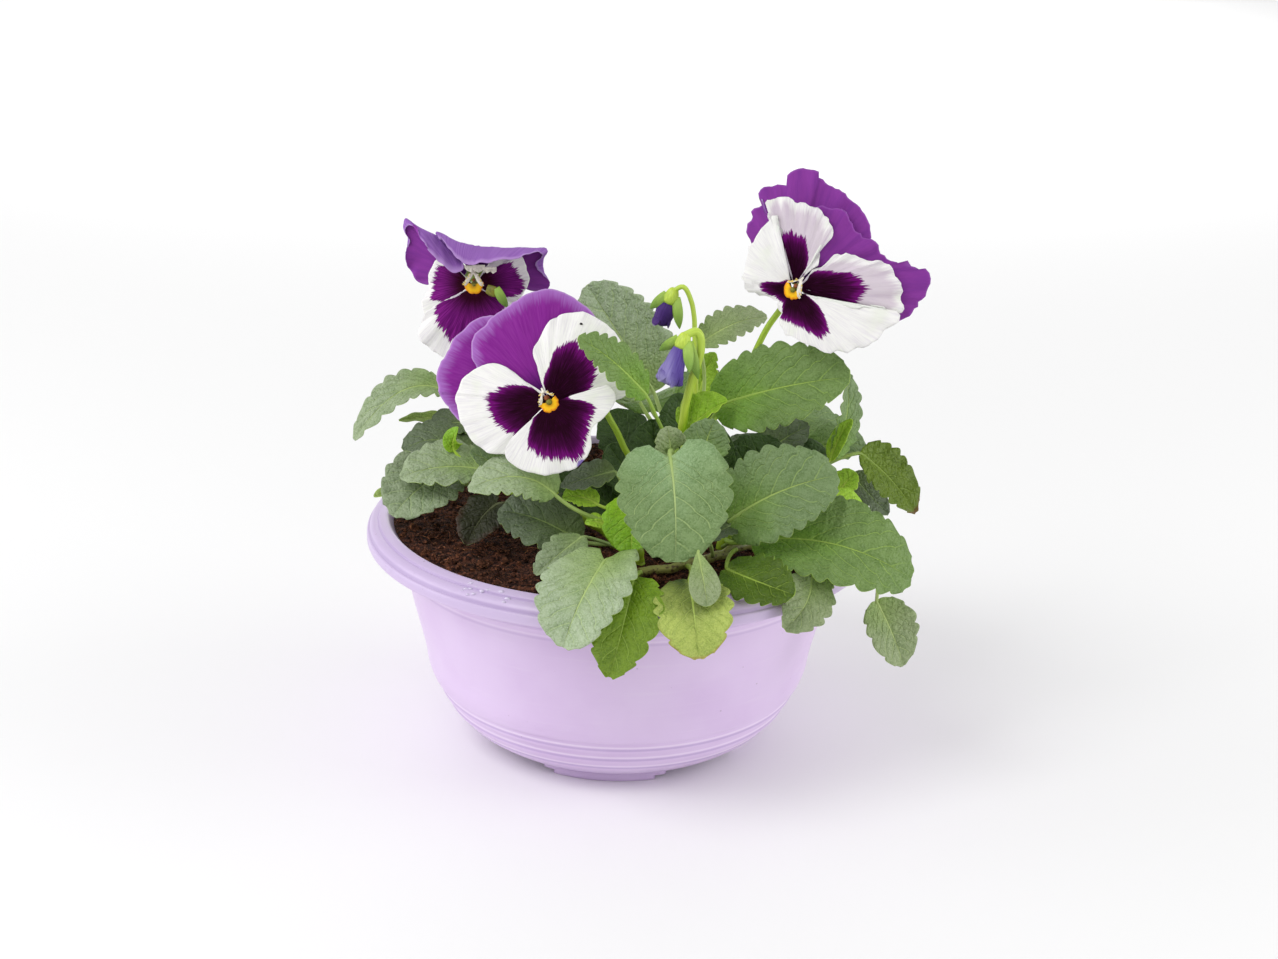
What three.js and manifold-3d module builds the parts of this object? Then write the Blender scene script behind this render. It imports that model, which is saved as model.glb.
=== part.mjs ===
// A pansy in a moulded bowl planter: bowl, potting soil, stems, leaves, open flowers and buds.
// Millimetres, +Z up. The origin is the middle of the boss under the bowl, where it stands.
// Heights in the tables are taken from the bowl's base, which its foot pads hold off the ground.

import * as THREE from 'three';
import { mergeVertices } from 'three/addons/utils/BufferGeometryUtils.js';
import Module from 'manifold-3d';

const wasm = await Module();
wasm.setup();

// ---------------------------------------------------------------- driving dimensions

const BOWL_SIDES = 36; // flat sides round the bowl
const GAP = 0.3; // clearance between touching pieces

const FOOT_HEIGHT = 3.6;
const FOOT_RADIUS = 60;
const FOOT_WIDTH = 9;
const FOOT_COUNT = 4;
const FOOT_TURN = -95; // degrees round from +X to the middle of the front pad
const FOOT_STEPS = [[45, FOOT_HEIGHT], [55, FOOT_HEIGHT / 2]]; // [degrees wide, height]
const BOSS_RADIUS = 9; // flat boss at the middle of the underside
const BASE_TOP = 2.4;
const DRAIN_COUNT = 4;
const DRAIN_CIRCLE = 38;
const DRAIN_RADIUS = 4;

const RIM_RADIUS = 115;
const RIM_TOP = 103.4;
const SOIL_EDGE = 101; // height up to which it lies against the wall
const CALYX_BACK = 11; // how far the calyx sits behind the eye
const SEPAL_REACH = 11;
const STALK_RADIUS = 1.4;
const BUD_CALYX_LENGTH = 6;

const STEM_SIDES = 7;
const PETIOLE_RADIUS = 1.0;
const LEAF_THICKNESS = 0.8;
const PETAL_THICKNESS = 0.6;
const PETAL_COLUMNS = 10;
const PETAL_CROWN = 0.03; // how far a petal bulges forward, as a share of its length

const COLOURS = {
  bowl: 0xd2c3e0,
  soil: 0x3b241b,
  stem: 0x8fae3c,
  leaf: 0x83967a,
  youngLeaf: 0xa0bc3e,
  violet: 0x862c8f,
  white: 0xf2f1ee,
  bud: 0x6f5aa8,
};

// ---------------------------------------------------------------- solids and meshes

const point = (p) => new THREE.Vector3(p[0], p[1], p[2]);

// A closed geometry whose triangles share their vertices and all face outwards.
function closed(positions, triangles) {
  let volume = 0;
  const corner = triangles.map((i) => new THREE.Vector3().fromArray(positions, 3 * i));
  for (let i = 0; i < corner.length; i += 3) {
    volume += corner[i].dot(new THREE.Vector3().crossVectors(corner[i + 1], corner[i + 2]));
  }
  if (volume < 0) {
    triangles = triangles.slice().reverse();
  }
  const geometry = new THREE.BufferGeometry();
  geometry.setAttribute('position', new THREE.Float32BufferAttribute(positions, 3));
  geometry.setIndex(triangles);
  return geometry;
}

function toSolid(geometry) {
  const bare = geometry.clone();
  bare.deleteAttribute('normal');
  bare.deleteAttribute('uv');
  const merged = mergeVertices(bare, 1e-4);
  const vertProperties = new Float32Array(merged.attributes.position.array);
  const triVerts = new Uint32Array(merged.index.array);
  return new wasm.Manifold(new wasm.Mesh({ numProp: 3, vertProperties, triVerts }));
}

function toGeometry(solid) {
  const mesh = solid.getMesh();
  const geometry = new THREE.BufferGeometry();
  geometry.setAttribute('position', new THREE.Float32BufferAttribute(mesh.vertProperties, 3));
  geometry.setIndex(Array.from(mesh.triVerts));
  return geometry;
}

const joined = (geometries) => toGeometry(geometries.map(toSolid).reduce((a, b) => a.add(b)));

// A skin over rings of equal length, closed by a flat cap at each end.
function loft(rings) {
  const sides = rings[0].length;
  const positions = rings.flat().flatMap((p) => [p.x, p.y, p.z]);
  const triangles = [];
  for (let r = 0; r + 1 < rings.length; r += 1) {
    for (let s = 0; s < sides; s += 1) {
      const a = r * sides + s;
      const b = r * sides + ((s + 1) % sides);
      triangles.push(a, b, b + sides, a, b + sides, a + sides);
    }
  }
  const last = (rings.length - 1) * sides;
  for (let s = 1; s + 1 < sides; s += 1) {
    triangles.push(0, s + 1, s);
    triangles.push(last, last + s, last + s + 1);
  }
  return closed(positions, triangles);
}

function regularPolygon(radius, sides) {
  const corners = [];
  for (let i = 0; i < sides; i += 1) {
    const angle = (2 * Math.PI * i) / sides;
    corners.push(new THREE.Vector2(radius * Math.cos(angle), radius * Math.sin(angle)));
  }
  return new THREE.Shape(corners);
}

function tube(curve, radius, steps, sides = STEM_SIDES) {
  return new THREE.ExtrudeGeometry(regularPolygon(radius, sides), { steps, extrudePath: curve });
}

// A turned body whose own axis is laid along a line.
function turned(profile, sides, origin, direction) {
  const corners = profile.map(([radius, along]) => new THREE.Vector2(radius, along));
  const geometry = new THREE.LatheGeometry(corners, sides);
  const up = new THREE.Vector3(0, 1, 0);
  geometry.applyQuaternion(new THREE.Quaternion().setFromUnitVectors(up, direction));
  geometry.translate(origin.x, origin.y, origin.z);
  return geometry;
}

// ---------------------------------------------------------------- bowl and soil

// Inner face of the wall, from the base up to the rim's inner edge: [radius, height].
const INNER_WALL = [
  [54, BASE_TOP], [62.5, 4], [70.2, 9.3], [74.9, 15.4], [79, 21.8], [83, 29], [86, 35],
  [87, 42], [93, 66], [96.9, 84], [101, 96], [103.2, 100.6],
];

// The soil's top, heaped a little against the wall: [radius, height].
const SOIL_SURFACE = [[98, 101.6], [92, 100.6], [78, 99.6], [55, 100.3], [0, 101]];

// Boss, flat base, rounded bottom with its stepped bands, cone wall and thin rim.
const OUTER_FACE = [
  [0, -FOOT_HEIGHT], [BOSS_RADIUS, -FOOT_HEIGHT], [BOSS_RADIUS + 1, 0], [54, 0], [61, 0.9],
  [65.5, 3.2], [72.6, 8], [77, 14.4], [77.8, 15.2], [81, 20.6],
  [81.8, 21.4], [84.8, 27.2], [85.6, 28], [88, 34], [89, 42], [95, 66], [98.9, 84],
  [100.3, 84.6], [101.4, 92], [102.6, 97.6], [107, 99.6], [111, 97.9], [113.2, 92.6],
];

const RIM_FACE = [
  [RIM_RADIUS, 92.4], [RIM_RADIUS, 95.6], [114, 98.4], [112.4, 100.8], [109.4, 101.8],
  [108, 103], [105.8, RIM_TOP],
];

function latheRoundZ(profile) {
  const corners = profile.map(([radius, height]) => new THREE.Vector2(radius, height));
  const geometry = new THREE.LatheGeometry(corners, BOWL_SIDES);
  geometry.rotateX(Math.PI / 2);
  return geometry;
}

// A foot pad: a stretch of a low ring under the base, sunk a little into the wall above it.
function footGeometry(middle, degrees, height) {
  const from = THREE.MathUtils.degToRad(middle - degrees / 2);
  const to = THREE.MathUtils.degToRad(middle + degrees / 2);
  const stretch = new THREE.Shape();
  stretch.absarc(0, 0, FOOT_RADIUS, from, to, false);
  stretch.absarc(0, 0, FOOT_RADIUS - FOOT_WIDTH, to, from, true);
  const geometry = new THREE.ExtrudeGeometry(stretch, {
    depth: height + BASE_TOP / 2, bevelEnabled: false, curveSegments: 5,
  });
  geometry.translate(0, 0, -height);
  return geometry;
}

function bowlGeometry() {
  const inside = INNER_WALL.slice().reverse();
  const shell = latheRoundZ([...OUTER_FACE, ...RIM_FACE, ...inside, [0, BASE_TOP]]);
  let solid = toSolid(shell);
  for (let i = 0; i < FOOT_COUNT; i += 1) {
    for (const [degrees, height] of FOOT_STEPS) {
      const foot = footGeometry(FOOT_TURN + (360 * i) / FOOT_COUNT, degrees, height);
      solid = solid.add(toSolid(foot));
    }
  }
  for (let i = 0; i < DRAIN_COUNT; i += 1) {
    const angle = (2 * Math.PI * (i + 0.5)) / DRAIN_COUNT;
    const drill = new THREE.CylinderGeometry(DRAIN_RADIUS, DRAIN_RADIUS, 4 * BASE_TOP, 16);
    drill.rotateX(Math.PI / 2);
    drill.translate(DRAIN_CIRCLE * Math.cos(angle), DRAIN_CIRCLE * Math.sin(angle), 0);
    solid = solid.subtract(toSolid(drill));
  }
  return toGeometry(solid);
}

// The soil fills the bowl and has a socket round every stem that is rooted in it.
function soilGeometry(rooted) {
  const wall = INNER_WALL.filter(([, height]) => height > BASE_TOP && height < SOIL_EDGE);
  const side = wall.map(([radius, height]) => [radius - GAP, height + GAP]);
  const bottom = [[0, BASE_TOP + GAP], [INNER_WALL[0][0] - GAP, BASE_TOP + GAP]];
  const profile = [...bottom, ...side, ...SOIL_SURFACE];
  let solid = toSolid(latheRoundZ(profile));
  for (const stem of rooted) {
    solid = solid.subtract(toSolid(tube(stem.curve, stem.radius + GAP, stem.steps)));
  }
  return toGeometry(solid);
}

// ---------------------------------------------------------------- leaves

// Half width of a blade at a share of its length, as a share of its greatest half width.
function bladeOutline(share, peak, blunt) {
  const exponent = Math.log(0.5) / Math.log(peak);
  return Math.pow(Math.sin(Math.PI * Math.pow(share, exponent)), blunt);
}

function ringAcross(centre, side, normal, halfWidth, lift, thickness) {
  const at = (x, z) => centre.clone().addScaledVector(side, x).addScaledVector(normal, z);
  const inner = 0.45 * halfWidth;
  const half = thickness / 2;
  const drop = 0.3 * lift;
  return [
    at(-halfWidth, lift), at(-inner, drop + half), at(inner, drop + half),
    at(halfWidth, lift), at(inner, drop - half), at(-inner, drop - half),
  ];
}

function ringRound(centre, side, normal, radius) {
  const ring = [];
  for (const angle of [180, 120, 60, 0, -60, -120]) {
    const x = radius * Math.cos(THREE.MathUtils.degToRad(angle));
    const z = radius * Math.sin(THREE.MathUtils.degToRad(angle));
    ring.push(centre.clone().addScaledVector(side, x).addScaledVector(normal, z));
  }
  return ring;
}

// One leaf grown as one piece: a petiole from its stem, then a folded blade.
function leafGeometry(leaf, { start, out }) {
  const [base, middle, tip] = leaf.rib.map(point);
  const face = point(leaf.face ?? [0, 0, 1]).normalize();
  const bend = middle.clone().multiplyScalar(2).addScaledVector(base, -0.5);
  bend.addScaledVector(tip, -0.5);
  const blade = new THREE.QuadraticBezierCurve3(base, bend, tip);
  const towards = bend.clone().sub(base).normalize();
  const reach = base.distanceTo(start);
  const before = base.clone().addScaledVector(towards, -0.45 * reach);
  const outside = start.clone().addScaledVector(out, 0.45 * reach);
  const via = leaf.via ? point(leaf.via) : before.lerp(outside, 0.4);
  const petiole = new THREE.QuadraticBezierCurve3(start, via, base);
  const frameAt = (curve, share) => {
    const along = curve.getTangent(share);
    const side = new THREE.Vector3().crossVectors(along, face).normalize();
    const normal = new THREE.Vector3().crossVectors(side, along).normalize();
    return [curve.getPoint(share), side, normal];
  };
  const rings = [0, 0.3, 0.6, 0.9].map((share) => {
    return ringRound(...frameAt(petiole, share), PETIOLE_RADIUS);
  });
  const halfWidth = leaf.width / 2;
  for (const share of [0.06, 0.2, 0.42, 0.66, 0.86, 0.97]) {
    const outline = bladeOutline(share, leaf.peak ?? 0.42, leaf.blunt ?? 0.7);
    const half = Math.max(halfWidth * outline, 1.1 * PETIOLE_RADIUS);
    const lift = (leaf.fold ?? 0.2) * half;
    rings.push(ringAcross(...frameAt(blade, share), half, lift, LEAF_THICKNESS));
  }
  return loft(rings);
}

// Where a petiole or stalk leaves its stem: just clear of the bark, on the side it grows to.
function onBark(stem, share, target, radius) {
  const centre = stem.curve.getPoint(share);
  const along = stem.curve.getTangent(share);
  const out = target.clone().sub(centre);
  out.addScaledVector(along, -out.dot(along)).normalize();
  const start = centre.addScaledVector(out, stem.radius + GAP + 0.5 * radius);
  return { start, out };
}

// ---------------------------------------------------------------- petals

// The open sheet of a petal, widened to its full thickness along its own normals.
function thicken(rows, thickness) {
  const columns = rows[0].length;
  const sheet = new THREE.BufferGeometry();
  const flat = rows.flat().flatMap((p) => [p.x, p.y, p.z]);
  sheet.setAttribute('position', new THREE.Float32BufferAttribute(flat, 3));
  const faces = [];
  for (let r = 0; r + 1 < rows.length; r += 1) {
    for (let c = 0; c + 1 < columns; c += 1) {
      const a = r * columns + c;
      faces.push(a, a + 1, a + columns + 1, a, a + columns + 1, a + columns);
    }
  }
  sheet.setIndex(faces);
  sheet.computeVertexNormals();
  const normals = sheet.attributes.normal;
  const positions = [];
  for (const side of [0.5, -0.5]) {
    for (let i = 0; i < normals.count; i += 1) {
      const p = new THREE.Vector3().fromArray(flat, 3 * i);
      const n = new THREE.Vector3().fromBufferAttribute(normals, i);
      p.addScaledVector(n, side * thickness);
      positions.push(p.x, p.y, p.z);
    }
  }
  const count = normals.count;
  const under = [];
  for (let i = 0; i < faces.length; i += 3) {
    under.push(faces[i] + count, faces[i + 2] + count, faces[i + 1] + count);
  }
  const walls = [];
  const edge = [];
  for (let c = 0; c < columns; c += 1) edge.push(c);
  for (let r = 1; r < rows.length; r += 1) edge.push(r * columns + columns - 1);
  for (let c = columns - 2; c >= 0; c -= 1) edge.push((rows.length - 1) * columns + c);
  for (let r = rows.length - 2; r > 0; r -= 1) edge.push(r * columns);
  for (let i = 0; i < edge.length; i += 1) {
    const a = edge[i];
    const b = edge[(i + 1) % edge.length];
    walls.push(b, a, a + count, b, a + count, b + count);
  }
  return closed(positions, [...faces, ...under, ...walls]);
}

// A flower's own frame: right, up and towards the viewer of its face, about its eye.
function flowerFrame(flower) {
  const out = point(flower.facing).normalize();
  const up = new THREE.Vector3(0, 0, 1).addScaledVector(out, -out.z).normalize();
  const right = new THREE.Vector3().crossVectors(up, out);
  return new THREE.Matrix4().makeBasis(right, up, out).setPosition(point(flower.eye));
}

// Points spread evenly along a smooth curve through an outline.
function spread(outline, columns) {
  const curve = new THREE.CatmullRomCurve3(outline.map(point), false, 'centripetal');
  return curve.getSpacedPoints(columns);
}

const lerp = (a, b, share) => a.clone().lerp(b, share);

// A petal fans out from its claw to its rim. A crest, if it has one, is the line it folds over.
function petalGeometry(petal, frame) {
  const rim = spread(petal.rim, PETAL_COLUMNS);
  const claw = (petal.claw ?? [petal.rim[0], petal.rim.at(-1)]).map(point);
  const base = rim.map((p, i) => lerp(claw[0], claw[1], 0.1 + (0.8 * i) / PETAL_COLUMNS));
  const edge = petal.claw ? rim : rim.map((p, i) => lerp(base[i], p, i % PETAL_COLUMNS ? 1 : 0.96));
  const crowned = (p, i) => {
    const crown = PETAL_CROWN * base[i].distanceTo(p);
    return lerp(base[i], p, 0.5).add(new THREE.Vector3(0, 0, crown));
  };
  const half = petal.crest ? spread(petal.crest, PETAL_COLUMNS) : edge.map(crowned);
  const rows = [base, half, edge].map((row) => row.map((p) => p.clone().applyMatrix4(frame)));
  return thicken(rows, PETAL_THICKNESS);
}

// ---------------------------------------------------------------- stalks and sepals

// A pointed sepal grown from the calyx.
function sepalGeometry(start, tip, face, width) {
  const along = tip.clone().sub(start).normalize();
  const side = new THREE.Vector3().crossVectors(along, face).normalize();
  const normal = new THREE.Vector3().crossVectors(side, along);
  const ring = (share, half) => {
    const centre = lerp(start, tip, share);
    return [[-half, 0], [0, 0.5], [half, 0], [0, -0.5]].map(([x, z]) => {
      return centre.clone().addScaledVector(side, x).addScaledVector(normal, z);
    });
  };
  return loft([ring(0, width / 3), ring(0.4, width / 2), ring(0.98, width / 8)]);
}

// The calyx behind a flower, with its sepals and its stigma, on the end of its stalk.
function flowerStalkGeometry(flower, frame, start) {
  const place = (x, y, z) => new THREE.Vector3(x, y, z).applyMatrix4(frame);
  const out = point(flower.facing).normalize();
  const parts = [];
  const back = place(0, 0, -CALYX_BACK);
  const route = [start, ...flower.stalk.map(point), place(0, 0, -CALYX_BACK - 3), back];
  parts.push(tube(new THREE.CatmullRomCurve3(route), STALK_RADIUS, 2 * route.length + 2, 6));
  const cup = [[0, -2.6], [2.2, -1.8], [3, 0.2], [2.2, 2], [0, 2.8]];
  parts.push(turned(cup, 8, back, out));
  const stigma = [[0, 0], [0.9, 0], [0.9, CALYX_BACK - 1], [1.1, CALYX_BACK + 0.6], [0, CALYX_BACK + 1]];
  parts.push(turned(stigma, 6, back, out));
  for (let i = 0; i < 5; i += 1) {
    const angle = (2 * Math.PI * (i + 0.25)) / 5;
    const from = place(1.5 * Math.cos(angle), 1.5 * Math.sin(angle), -CALYX_BACK);
    const to = place(SEPAL_REACH * Math.cos(angle), SEPAL_REACH * Math.sin(angle), -CALYX_BACK - 5);
    parts.push(sepalGeometry(from, to, out, 4.5));
  }
  return joined(parts);
}

// A closed bud hangs from its hooked stalk.
function budStalkGeometry(bud, start) {
  const [top, tip] = bud.corolla.map(point);
  const hang = tip.clone().sub(top).normalize();
  const collar = top.clone().addScaledVector(hang, -BUD_CALYX_LENGTH);
  const route = [start, ...bud.stalk.map(point), collar];
  const parts = [tube(new THREE.CatmullRomCurve3(route), bud.stalkRadius, 2 * route.length + 2, 6)];
  const length = BUD_CALYX_LENGTH - GAP;
  const cup = [[0, -1.5], [2, -0.8], [3.2, 0.5 * length], [2.8, length], [0, length]];
  parts.push(turned(cup, 8, collar, hang));
  const face = new THREE.Vector3(0, -1, 0);
  for (const sepal of bud.sepals) {
    const out = point(sepal).sub(collar);
    out.addScaledVector(hang, -out.dot(hang)).normalize();
    const from = collar.clone().addScaledVector(hang, 2).addScaledVector(out, 2.4);
    parts.push(sepalGeometry(from, point(sepal), face, 4));
  }
  return joined(parts);
}

function budCorollaGeometry(bud) {
  const [top, tip] = bud.corolla.map(point);
  const length = top.distanceTo(tip);
  const profile = bud.swell.map(([radius, share]) => [radius, share * length]);
  return turned(profile, 10, top, tip.clone().sub(top).normalize());
}

// ---------------------------------------------------------------- the plant

// Stems: points from below the soil's surface to the growing tip.
const STEMS = {
  stem_left: {
    radius: 2, route: [[0, -34, 88], [-4, -36, 104], [-24, -36, 116], [-46, -27, 120], [-60, -16, 124]],
  },
  stem_front: { radius: 2.2, route: [[10, -54, 88], [8, -56, 104], [6, -56, 115], [6, -52, 127]] },
  stem_centre: {
    radius: 2.6, route: [[25, -30, 88], [25, -30, 106], [27, -28, 125], [28, -24, 140], [29, -20, 152]],
  },
  stem_right: {
    radius: 2.3, route: [[44, -34, 88], [46, -34, 104], [57, -28, 116], [73, -14, 123], [86, -4, 127]],
  },
  stem_lying: {
    radius: 2, route: [[62, -32, 90], [57, -38, 102.6], [42, -53, 103], [24, -66, 102.6], [8, -72, 102.2]],
  },
};

// Leaves: the stem and where on it, then the rib as blade base, middle and tip.
const LEAVES = {
  leaf_far_left: {
    on: 'stem_left', at: 1, rib: [[-81, 20, 152], [-101, 14, 153], [-122, 8, 132]], width: 22,
    face: [-0.1, -0.35, 0.93],
  },
  leaf_left_behind: {
    on: 'stem_left', at: 0.8, rib: [[-68, -4, 131], [-84, -4, 137], [-98, -6, 132]], width: 24,
    face: [0, -0.3, 0.95],
  },
  leaf_left_round: {
    on: 'stem_left', at: 0.85, rib: [[-61, -24, 130], [-79, -27, 132], [-97, -30, 128]], width: 30,
    face: [0, -0.35, 0.94],
  },
  leaf_left_drooping: {
    on: 'stem_left', at: 0.88, rib: [[-76, -12, 126], [-89, -26, 122], [-100, -36, 112]], width: 36,
    face: [-0.2, -0.65, 0.73],
  },
  leaf_on_soil: {
    on: 'stem_left', at: 0.62, rib: [[-54, -40, 120], [-61, -46, 115], [-66, -54, 106]], width: 20,
    face: [-0.1, -0.65, 0.75],
  },
  leaf_left_pointed: {
    on: 'stem_front', at: 0.76, rib: [[-28, -62, 133], [-44, -62, 141], [-65, -60, 134]], width: 25,
    face: [-0.05, -0.5, 0.86],
  },
  leaf_left_crinkled: {
    on: 'stem_front', at: 0.55, rib: [[-20, -58, 112], [-36, -56, 120], [-53, -48, 120]], width: 27,
    face: [-0.2, -0.6, 0.77],
  },
  leaf_left_small: {
    on: 'stem_front', at: 0.36, rib: [[-16, -69, 117], [-25, -79, 113], [-35, -88, 107]], width: 16,
    face: [-0.3, -0.6, 0.7],
  },
  leaf_front_left: {
    on: 'stem_front', at: 0.62, rib: [[-6, -88, 114], [-15, -115, 107], [-22, -126, 91]], width: 38,
    face: [-0.25, -0.72, 0.65], peak: 0.38, blunt: 0.6, via: [2, -72, 109],
  },
  leaf_front_hanging: {
    on: 'stem_lying', at: 1, rib: [[6, -94, 109], [2, -117, 100], [-3, -121, 76]], width: 29,
    face: [-0.1, -0.85, 0.5],
  },
  leaf_bright: {
    on: 'stem_front', at: 0.92, rib: [[8, -60, 131], [5, -67, 121], [5, -74, 112]], width: 26,
    face: [-0.1, -0.8, 0.5], young: true,
  },
  leaf_front_heart: {
    on: 'stem_centre', at: 0.56, rib: [[20, -76, 156], [22, -87, 139], [23, -96, 117]], width: 47,
    face: [0, -0.85, 0.5], peak: 0.36, blunt: 0.55,
  },
  leaf_behind_heart: {
    on: 'stem_centre', at: 0.46, rib: [[34, -60, 150], [36, -58, 158], [39, -56, 166]], width: 20,
    face: [0, -0.9, 0.3],
  },
  leaf_right_high: {
    on: 'stem_centre', at: 0.74, rib: [[43, -22, 162], [69, -28, 173], [97, -36, 180]], width: 39,
    face: [0.05, -0.75, 0.66], blunt: 0.6,
  },
  leaf_beside_buds: {
    on: 'stem_centre', at: 0.9, rib: [[33, -6, 184], [48, 0, 192], [63, 4, 195]], width: 17,
    face: [0, -0.6, 0.8], via: [40, 2, 162],
  },
  leaf_tall_back: {
    on: 'stem_centre', at: 0.7, rib: [[14, 16, 155], [-1, 12, 181], [-17, 10, 206]], width: 40,
    face: [0.1, -0.85, 0.5], blunt: 0.6,
  },
  leaf_over_petal: {
    on: 'stem_centre', at: 0.66, rib: [[10, -56, 176], [-4, -64, 193], [-19, -68, 204]], width: 18,
    face: [0.2, -0.7, 0.6],
  },
  leaf_right_middle: {
    on: 'stem_right', at: 0.35, rib: [[47, -66, 125], [67, -70, 139], [91, -66, 146]], width: 39,
    face: [0, -0.8, 0.6], blunt: 0.6,
  },
  leaf_right_low: {
    on: 'stem_right', at: 0.25, rib: [[57, -64, 115], [91, -74, 117], [124, -74, 103]], width: 43,
    face: [0.1, -0.6, 0.8], peak: 0.5, blunt: 0.55,
  },
  leaf_right_hanging: {
    on: 'stem_right', at: 0.45, rib: [[112, -54, 84], [119, -60, 72], [125, -62, 57]], width: 25,
    face: [0.4, -0.8, 0.4], via: [118, -54, 124],
  },
  leaf_far_right: {
    on: 'stem_right', at: 1, rib: [[111, 4, 130], [124, 4, 118], [136, 2, 104]], width: 22,
    face: [0.5, -0.6, 0.62],
  },
  leaf_right_behind: {
    on: 'stem_right', at: 0.75, rib: [[87, 16, 127], [99, 16, 133], [112, 18, 130]], width: 20,
    face: [0.1, -0.6, 0.8],
  },
  leaf_right_edge_on: {
    on: 'stem_right', at: 0.93, rib: [[94, -8, 134], [101, 0, 152], [99, 4, 170]], width: 18,
    face: [0.75, -0.5, 0.3],
  },
  leaf_right_dark: {
    on: 'stem_right', at: 0.7, rib: [[66, 4, 131], [74, 8, 137], [85, 12, 142]], width: 20,
    face: [-0.1, -0.7, 0.7],
  },
  leaf_front_small: {
    on: 'stem_lying', at: 0.55, rib: [[32, -96, 122], [34, -110, 115], [36, -118, 107]], width: 13,
    face: [0, -0.8, 0.6], peak: 0.65,
  },
  leaf_front_yellow: {
    on: 'stem_lying', at: 0.7, rib: [[29, -96, 109], [31, -117, 102], [33, -121, 85]], width: 31,
    face: [0, -0.8, 0.6], young: true,
  },
  leaf_front_right: {
    on: 'stem_lying', at: 0.4, rib: [[45, -80, 108], [59, -95, 108], [72, -104, 107]], width: 24,
    face: [0, -0.7, 0.7],
  },
  leaf_right_grey: {
    on: 'stem_right', at: 0.3, rib: [[81, -76, 107], [78, -92, 99], [69, -98, 89]], width: 22,
    face: [0.3, -0.8, 0.4], via: [78, -60, 112],
  },
};

// Shoots behind the crown: a stem and its leaves, grown as one piece.
const SHOOTS = {
  shoot_rear_left: {
    radius: 2, route: [[-14, 8, 88], [-15, 12, 104], [-28, 32, 117], [-38, 48, 123]],
    leaves: [
      { at: 0.98, rib: [[-46, 54, 128], [-59, 63, 130], [-73, 71, 119]], width: 30 },
      { at: 0.9, rib: [[-38, 62, 126], [-40, 80, 127], [-42, 98, 114]], width: 32 },
      { at: 0.8, rib: [[-28, 56, 134], [-24, 70, 142], [-18, 84, 140]], width: 26 },
      { at: 0.75, rib: [[-46, 36, 124], [-62, 38, 128], [-78, 40, 121]], width: 28 },
    ],
  },
  shoot_rear_middle: {
    radius: 2.2, route: [[16, 20, 88], [16, 24, 104], [18, 42, 120], [20, 58, 127]],
    leaves: [
      { at: 0.98, rib: [[14, 72, 128], [10, 90, 129], [8, 108, 116]], width: 34 },
      { at: 0.9, rib: [[31, 66, 129], [41, 82, 130], [50, 97, 118]], width: 30 },
      { at: 0.8, rib: [[7, 60, 138], [1, 68, 147], [-5, 76, 151]], width: 26 },
      { at: 0.7, rib: [[29, 50, 138], [38, 52, 147], [47, 54, 151]], width: 24 },
    ],
  },
  shoot_rear_right: {
    radius: 2, route: [[44, 6, 88], [46, 12, 104], [60, 28, 116], [72, 42, 121]],
    leaves: [
      { at: 0.98, rib: [[82, 48, 124], [96, 54, 125], [111, 58, 113]], width: 30 },
      { at: 0.9, rib: [[76, 58, 121], [85, 72, 122], [94, 87, 110]], width: 32 },
      { at: 0.8, rib: [[66, 52, 130], [68, 66, 136], [70, 80, 132]], width: 26 },
      { at: 0.75, rib: [[78, 32, 124], [92, 31, 128], [106, 28, 121]], width: 24 },
    ],
  },
};

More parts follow.
